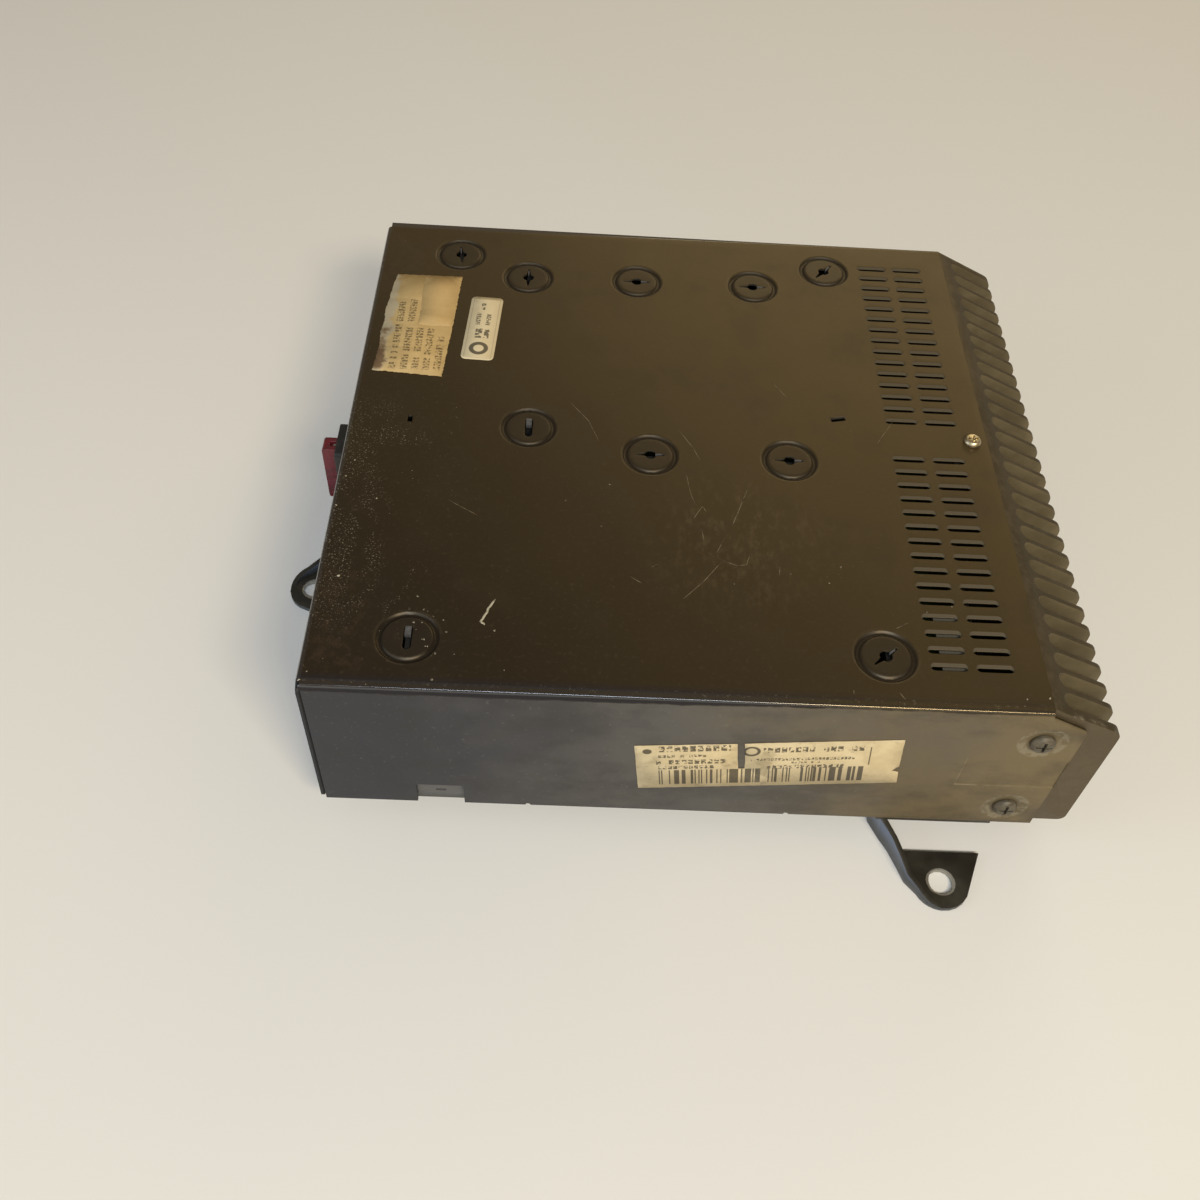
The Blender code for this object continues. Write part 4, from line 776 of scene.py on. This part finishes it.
def cover_outline():
    """The blank's edge, from the front flange's left end round to the left flange."""
    bottom, start = flange_v(FLANGE_BOTTOM), CREASE_LEFT
    side_foot = SIDE_BEND - SIDE_ARC - (50.0 - SIDE_BEND)
    bay_top = SIDE_BEND - SIDE_ARC - (5.0 - SIDE_BEND)
    notch = [(25.1, bottom), (25.1, flange_v(-43.5)), (25.6, flange_v(-43.0)), (36.8, flange_v(-43.0)),
             (37.3, flange_v(-43.5)), (37.3, bottom)]
    nick = ((-0.7, 0.0), (-0.4, 0.7), (0.4, 0.6), (0.7, 0.0))
    nicks = [(x + out, bottom + up) for x in (53.9, 121.9) for out, up in nick]
    front = ([(start, bottom)] + notch + nicks
             + [(FLANGE_RIGHT, bottom), (FLANGE_RIGHT, flange_v(-7.9)),
                (FLANGE_RIGHT - 0.5, flange_v(-7.2)), (178.2, flange_v(-2.6)), (177.6, flange_v(-2.3)),
                (WIDTH, BEND - ARC + 0.3), (WIDTH, BEND)])
    rear = [(x, DEPTH - v) for x, v in reversed(front) if (x, v) not in notch + nicks]
    left = [(start, DEPTH - BEND), (SIDE_BEND, DEPTH - BEND), (0.4, DEPTH - BEND)]
    corner = [(SIDE_BEND - SIDE_ARC - 1.2, DEPTH - 0.4), (SIDE_BEND - SIDE_ARC - 2.2, DEPTH)]
    side = [(side_foot, DEPTH), (side_foot, 158.0), (bay_top - 1.5, 158.0), (bay_top, 156.5),
            (bay_top, 23.5), (bay_top - 1.5, 22.0), (side_foot, 22.0), (side_foot, 0.0)]
    near = [(u, DEPTH - v) for u, v in reversed(corner)]
    return front + rear + left + corner + side + near + [(0.4, BEND), (SIDE_BEND, BEND), (start, BEND)]


def draw_bends(blank):
    """Lines along the three bends, close enough together for the bends to come out round."""
    for bend_step in range(9):
        v = BEND - ARC * bend_step / 8
        for line in (v, DEPTH - v):
            blank.loop([(CREASE_LEFT, line), (WIDTH if bend_step < 8 else WIDTH + 0.3, line)], closed=False)
    for guard in (BEND + 0.5, BEND - ARC - 0.5):
        for line in (guard, DEPTH - guard):
            blank.loop([(CREASE_LEFT, line), (WIDTH, line)], closed=False)
    for bend_step in range(7):
        u = SIDE_BEND - SIDE_ARC * bend_step / 6
        blank.loop([(u, BEND), (u, DEPTH - BEND)], closed=False)


def punch_vents(blank):
    """Rows of vents from the front and from the rear, in two columns."""
    for row in range(VENT_ROWS):
        for v in (VENT_START + VENT_PITCH * row, DEPTH - VENT_START - VENT_PITCH * row):
            for left, right in VENT_COLUMNS:
                middle, length = (left + right) / 2, right - left
                blank.hole(*((turned(slot_shape(length + grow, width), middle, v + shift, 0.0), rise)
                             for grow, width, shift, rise in VENT_LOOPS))


def broad_slot():
    """The loops of a straight slot round a broad lug."""
    sizes = ((0.7, 0.0), (0.04, -0.16), (0.0, -1.0))
    return [(slot_shape(7.0 + grow, 2.0 + grow), rise) for grow, rise in sizes]


def narrow_slot():
    """The loops of a slot that is wide in the middle, where the bent lug stands."""
    half = [(3.9, 0.1), (2.4, 0.32), (1.35, 0.5), (1.05, 1.1), (0.45, 1.5)]
    half += [(-a, b) for a, b in reversed(half)]
    slit = half + [(-a, -b) for a, b in half]
    return [([(a * 1.07, b + math.copysign(0.25, b)) for a, b in slit], 0.0), (slit, -0.12)]


def press_discs(blank):
    """The pressed discs, each with the slot that one of the inner frames' lugs comes up through."""
    for x, y, degrees, broad in DISCS:
        for radius, rise in DISC_RINGS:
            blank.loop(circle(x, y, radius, 48), rise)
        loops = broad_slot() if broad else narrow_slot()
        blank.hole(*((turned(shape, x, y, degrees), rise) for shape, rise in loops))


def punch_holes(blank):
    """The tool slots, the top screw's hole, and the end screws' dished holes."""
    for x, y, length, width, degrees in TOOL_SLOTS:
        blank.hole(*((turned(box_shape(length, width, grow), x, y, degrees), rise)
                     for grow, rise in ((0.3, 0.0), (0.0, -0.12))))
    blank.hole((circle(*TOP_SCREW, 2.1, 24), 0.0), (circle(*TOP_SCREW, 1.7, 24), -0.12))
    for z in END_SCREW_HEIGHTS:
        for v in (flange_v(z), DEPTH - flange_v(z)):
            for radius, rise in SCREW_DISH:
                blank.loop(circle(END_SCREW_X, v, radius, 36), rise)
            blank.hole((circle(END_SCREW_X, v, 2.2, 24), -0.6), (circle(END_SCREW_X, v, 1.7, 24), -0.6))


def press_rectangle(blank):
    """The shallow rectangle pressed into the front flange's right end."""
    for grow, rise in ((0.25, 0.0), (0.05, -0.03), (-0.15, -0.24)):
        low, high = flange_v(PRESSED_BOTTOM) - grow, flange_v(PRESSED_TOP) + grow
        left, right = PRESSED_LEFT - grow, FLANGE_RIGHT - 0.02
        blank.loop([(right, low), (left, low), (left, high), (right, high)], rise, closed=False)


def make_cover(material):
    """The folded top cover, in place of the CAD's."""
    blank = Blank(cover_outline())
    draw_bends(blank)
    punch_vents(blank)
    press_discs(blank)
    punch_holes(blank)
    press_rectangle(blank)
    sheet = blank.build("cover_sheet", fold_cover)
    cover = finish_mesh("cover_sheet", sheet, material, angle=40.0)
    thicken(cover, "sheet", SHEET, -1.0)
    weighted = cover.modifiers.new("shading", "WEIGHTED_NORMAL")
    weighted.keep_sharp = True
    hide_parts("top_cover")


# ---- CAD nodes that stay ----
def soften(name, width):
    """Give a CAD node rounded edges."""
    node = nodes[name]
    weld = node.modifiers.new("weld", "WELD")
    weld.merge_threshold = 0.00001
    flat = node.modifiers.new("flat", "DECIMATE")
    flat.decimate_type = "DISSOLVE"
    flat.angle_limit = math.radians(1.0)
    bevel = node.modifiers.new("round", "BEVEL")
    bevel.width = width * MM
    bevel.segments = 2
    bevel.limit_method = "ANGLE"
    bevel.angle_limit = math.radians(30.0)
    bevel.harden_normals = True
    node.data.shade_smooth()


def numbered(name, count):
    return [f"{name}_{i + 1}" for i in range(count)]


def dress(material, *names, width=0.0):
    """Give CAD nodes a material, and rounded edges if they show."""
    for name in names:
        node = nodes[name]
        node.data.materials.clear()
        node.data.materials.append(material)
        if width:
            soften(name, width)


def make_materials():
    steel = metal("plated_steel", (0.5, 0.48, 0.42), (0.22, 0.2, 0.16), 0.32, 3.0)
    brass = metal("brass", (0.8, 0.7, 0.48), (0.34, 0.27, 0.16), 0.34, 12.0)
    black_zinc = metal("black_zinc", (0.085, 0.072, 0.05), (0.15, 0.125, 0.085), 0.46, 23.0, 0.25)
    black = plastic("black_plastic", (0.018, 0.017, 0.016), (0.055, 0.048, 0.04), 0.45, 8.0)
    sleeve = plastic("capacitor_sleeve", (0.012, 0.02, 0.075), (0.06, 0.07, 0.1), 0.3, 15.0)
    ferrite = plastic("ferrite", (0.045, 0.045, 0.048), (0.09, 0.09, 0.09), 0.6, 27.0)
    pad = plastic("insulating_pad", (0.38, 0.38, 0.41), (0.5, 0.5, 0.5), 0.7, 33.0)
    card = plastic("insulating_card", (0.085, 0.077, 0.06), (0.135, 0.122, 0.095), 0.7, 39.0)
    dress(steel, *numbered("board_screw", 4), *numbered("clamp_screw", 2), "clamp_bar")
    dress(frame_steel(), "left_frame", "right_frame", "shield_frame")
    dress(steel, *numbered("bracket_screw", 2), *numbered("bracket_rivet", 2), "fuse_strip", width=0.08)
    dress(brass, *numbered("board_spacer", 4))
    dress(brass, "top_screw", width=0.12)
    dress(black_zinc, "front_screw_upper", "front_screw_lower", "rear_screw_upper", "rear_screw_lower",
          width=0.12)
    dress(black, *numbered("power_chip", 4), "relay")
    dress(black, "signal_socket", "power_socket", "fuse_holder", width=0.2)
    dress(sleeve, *numbered("capacitor", 3))
    dress(ferrite, "choke_core")
    dress(pad, "insulating_pad")
    dress(card, "insulating_card")
    dress(wound_copper(), "choke_winding")
    dress(board_lacquer(), "main_board", "preamp_board")
    dress(tray_paint(), "base_tray", width=0.15)
    dress(sink_paint(), "heat_sink", width=0.35)
    dress(bracket_paint(), "mounting_bracket", width=0.2)
    dress(fuse_plastic(), "fuse_body", width=0.25)


# ---- labels ----
def ragged(outline, step, amount, seed):
    """An outline cut into short steps and pushed in and out at random."""
    draws = random.Random(seed)
    points = []
    for (x0, y0), (x1, y1) in zip(outline, outline[1:] + outline[:1]):
        length = math.dist((x0, y0), (x1, y1))
        normal = ((y1 - y0) / length, (x0 - x1) / length)
        count = max(1, round(length / step))
        for i in range(count):
            t = i / count
            push = draws.uniform(-amount, amount)
            points.append((x0 + (x1 - x0) * t + normal[0] * push, y0 + (y1 - y0) * t + normal[1] * push))
    return points


def lying(height):
    """A fold that lays a label on the top, at a height above it."""
    return lambda u, v, rise: at(u, v, height + rise)


def standing(u, v, rise):
    """A fold that stands a label against the front flange."""
    return at(u, -LABEL_GAP - rise, v)


def make_label(name, outline, fold, material, thick=0.12):
    """A thin piece of paper, which grows in thickness away from the case."""
    blank = Blank(outline)
    label = finish_mesh(name, blank.build(name, fold), material)
    thicken(label, "paper", thick, 1.0)
    return label


def make_large_label():
    """The long torn label, with a thinner blank one stuck over a part of it."""
    torn = [(6.0, 153.3), (5.2, 146.6), (4.9, 140.2), (4.3, 136.0), (4.8, 131.0), (4.1, 125.8),
            (4.6, 120.2), (4.2, 113.9), (3.8, 108.9), (7.9, 108.8), (23.8, 107.4), (24.9, 130.0),
            (25.8, 153.4)]
    patch = [(14.8, 153.0), (14.3, 145.0), (15.0, 137.0), (14.6, 129.8), (19.0, 129.4), (24.7, 129.6),
             (25.6, 153.2)]
    axes = (0.0, 0.0, 0.0), (1.0, 0.0, 0.0), (0.0, 1.0, 0.0)
    brown_ink = (0.06, 0.042, 0.022)
    large = paper("label_large", *axes, large_label_marks, (0.64, 0.46, 0.21), (0.5, 0.345, 0.15),
                  brown_ink, 5.0)
    label = make_label("large_label", ragged(torn, 0.6, 0.12, 4), lying(LABEL_GAP), large)
    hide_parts("label_large")
    overlay = paper("label_overlay", *axes, plain_marks, (0.62, 0.43, 0.19), (0.55, 0.375, 0.16),
                    brown_ink, 25.0)
    make_label("label_patch", ragged(patch, 1.0, 0.08, 9), lying(0.2), overlay, 0.06)


def make_small_label():
    """The small label with round corners, slightly turned."""
    x, y, degrees = 33.7, 129.7, -2.6
    tilt = math.radians(degrees)
    across, up = (math.cos(tilt), math.sin(tilt), 0.0), (-math.sin(tilt), math.cos(tilt), 0.0)
    corner = (x - 4.75 * across[0] - 14.3 * up[0], y - 4.75 * across[1] - 14.3 * up[1], 0.0)
    small = paper("label_small", corner, across, up, small_label_marks, (0.78, 0.66, 0.43),
                  (0.64, 0.52, 0.31), (0.035, 0.03, 0.022), 15.0, 0.5)
    shape = []
    for cx, cy, start in ((3.25, -12.8, -90), (3.25, 12.8, 0), (-3.25, 12.8, 90), (-3.25, -12.8, 180)):
        for angle in (math.radians(start + 15 * i) for i in range(7)):
            shape.append((cx + 1.5 * math.cos(angle), cy + 1.5 * math.sin(angle)))
    label = make_label("small_label", turned(shape, x, y, degrees), lying(LABEL_GAP), small)
    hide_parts("label_small")


def make_front_label():
    """The slanting label on the front flange, torn at its top."""
    slope = math.atan2(7.4, 65.2)
    along, rise_up = (math.cos(slope), 0.0, math.sin(slope)), (-math.sin(slope), 0.0, math.cos(slope))
    front = paper("label_front", (82.1, 0.0, -40.4), along, rise_up, front_label_marks,
                  (0.7, 0.575, 0.355), (0.56, 0.45, 0.265), (0.035, 0.028, 0.02), 35.0)
    outline = [(79.8, -20.4), (82.1, -40.4), (147.2, -33.0), (146.4, -27.9), (144.6, -27.4),
               (146.0, -25.2), (144.7, -13.2), (112.0, -16.9), (106.5, -17.6), (107.4, -23.5),
               (108.0, -29.0), (106.4, -29.2), (105.5, -23.5), (104.8, -17.8)]
    label = make_label("front_label", ragged(outline, 1.2, 0.05, 12), standing, front)
    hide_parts("label_front")


# ---- scuffs and flecks on the top ----
SCRATCHES = (
    ((91.0, 90.0), (94.5, 83.5), (96.5, 78.5)), ((92.5, 74.0), (93.5, 66.0), (94.5, 62.5)),
    ((109.5, 70.5), (106.5, 62.0), (104.0, 55.0)), ((102.0, 51.0), (99.5, 45.5)),
    ((101.0, 43.0), (96.0, 36.0), (90.5, 30.0)),
    ((101.0, 43.0), (104.5, 41.5), (107.0, 42.0), (108.0, 45.5)),
    ((94.0, 57.0), (96.5, 61.5), (97.5, 59.5)), ((96.0, 53.5), (96.5, 49.0)), ((83.0, 40.0), (84.5, 41.0)),
    ((77.5, 36.5), (80.5, 34.5)), ((115.5, 42.5), (115.0, 39.0)), ((142.5, 23.5), (146.0, 25.5)),
    ((140.5, 5.0), (142.0, 2.5)), ((130.0, 5.0), (130.0, 3.5)), ((60.0, 100.0), (66.0, 92.0), (69.0, 84.0)),
    ((30.0, 60.0), (38.0, 55.0)), ((118.0, 112.0), (123.0, 104.0)), ((152.0, 98.0), (146.0, 88.0)),
)
FLECKS = (
    (25.5, 27.5), (24.0, 23.5), (27.5, 23.5), (28.5, 23.0), (30.0, 21.5), (25.5, 19.5), (27.5, 19.5),
    (32.5, 20.5), (33.5, 17.0), (28.0, 14.5), (29.0, 12.5), (31.5, 10.5), (36.0, 10.5), (31.5, 3.0),
    (48.0, 6.5), (19.5, 70.0), (45.0, 18.0), (72.0, 68.0), (60.5, 61.5), (70.0, 53.0), (118.0, 39.5),
    (131.0, 42.5), (103.5, 35.5), (127.5, 37.0), (151.0, 29.0), (157.5, 31.0), (171.0, 4.0),
    (170.0, 2.0), (16.5, 1.0),
)
BARE_SPOTS = (
    (11.5, 59.5), (4.0, 73.0), (2.5, 67.0), (1.5, 56.5), (1.0, 1.5), (2.5, 4.0), (176.5, 4.5),
    (5.5, 33.0), (28.5, 14.5), (29.5, 12.5), (30.0, 21.5), (24.0, 23.5), (45.0, 18.0),
)
BARE_STROKE = ((44.5, 27.5), (43.0, 24.5), (42.0, 21.5), (41.5, 20.5), (42.5, 19.5))
MARK_HEIGHT = 0.02


def add_ribbon(bm, points, width):
    """A flat strip along a line on the top panel, drawn out to nothing at both ends."""
    left, right = [], []
    for index, (x, y) in enumerate(points):
        (ax, ay), (bx, by) = points[max(index - 1, 0)], points[min(index + 1, len(points) - 1)]
        length = math.dist((ax, ay), (bx, by))
        half = width / 2 if 0 < index < len(points) - 1 else width / 8
        across = ((ay - by) / length * half, (bx - ax) / length * half)
        left.append(bm.verts.new(at(x + across[0], y + across[1], MARK_HEIGHT)))
        right.append(bm.verts.new(at(x - across[0], y - across[1], MARK_HEIGHT)))
    for index in range(len(points) - 1):
        bm.faces.new((right[index], right[index + 1], left[index + 1], left[index]))


def subdivided(points, pieces, wander, draws):
    """More points along a line, each moved a little to the side."""
    result = []
    for (x0, y0), (x1, y1) in zip(points, points[1:]):
        result += [(x0 + (x1 - x0) * i / pieces + draws.uniform(-wander, wander),
                    y0 + (y1 - y0) * i / pieces + draws.uniform(-wander, wander)) for i in range(pieces)]
    return result + [points[-1]]


def add_fleck(bm, x, y, size, draws):
    """A small flat flake with seven uneven corners."""
    turn, stretch = draws.uniform(0.0, math.pi), draws.uniform(0.5, 1.0)
    corners = []
    for i in range(7):
        radius, angle = size * draws.uniform(0.55, 1.0), 2 * math.pi * i / 7
        a, b = radius * math.cos(angle), radius * stretch * math.sin(angle)
        corners.append(bm.verts.new(at(x + a * math.cos(turn) - b * math.sin(turn),
                                       y + a * math.sin(turn) + b * math.cos(turn), MARK_HEIGHT)))
    bm.faces.new(corners)


def lay_marks(name, material, draw):
    """A thin piece of case paint made of the faces that draw() adds."""
    bm = bmesh.new()
    draw(bm)
    marks = finish_mesh(name, baked(name, bm), material)
    thicken(marks, "film", 0.03, 0.0)


def make_marks():
    """Scratches, dusty flecks and bare spots, thin pieces laid on the top."""
    draws = random.Random(8)

    def scratches(bm):
        for line in SCRATCHES:
            add_ribbon(bm, subdivided(line, 3, 0.06, draws), 0.2)

    def flecks(bm):
        for x, y in FLECKS:
            add_fleck(bm, x, y, draws.uniform(0.18, 0.42), draws)
        for _ in range(60):
            x = draws.uniform(0.0, 1.0) ** 2 * 30.0 + 0.8
            add_fleck(bm, x, draws.uniform(2.5, DEPTH - 80.0), draws.uniform(0.08, 0.2), draws)

    def bright(bm):
        for x, y in BARE_SPOTS:
            add_fleck(bm, x, y, draws.uniform(0.22, 0.5), draws)
        add_ribbon(bm, subdivided(BARE_STROKE, 3, 0.12, draws), 0.55)

    scuffed = marks_paint("scuffed_paint", (0.2, 0.15, 0.085), (0.06, 0.044, 0.024), 0.5, 4.0)
    lay_marks("scratches", scuffed, scratches)
    dusty = marks_paint("dusty_paint", (0.3, 0.26, 0.19), (0.12, 0.1, 0.065), 0.5, 9.0)
    lay_marks("flecks", dusty, flecks)
    bare = marks_paint("bare_paint", (0.56, 0.51, 0.38), (0.34, 0.3, 0.21), 0.8, 14.0)
    lay_marks("bare_spots", bare, bright)


# ---- main ----
make_camera()
make_studio()
make_cover(case_paint())
make_materials()
make_large_label()
make_small_label()
make_front_label()
make_marks()
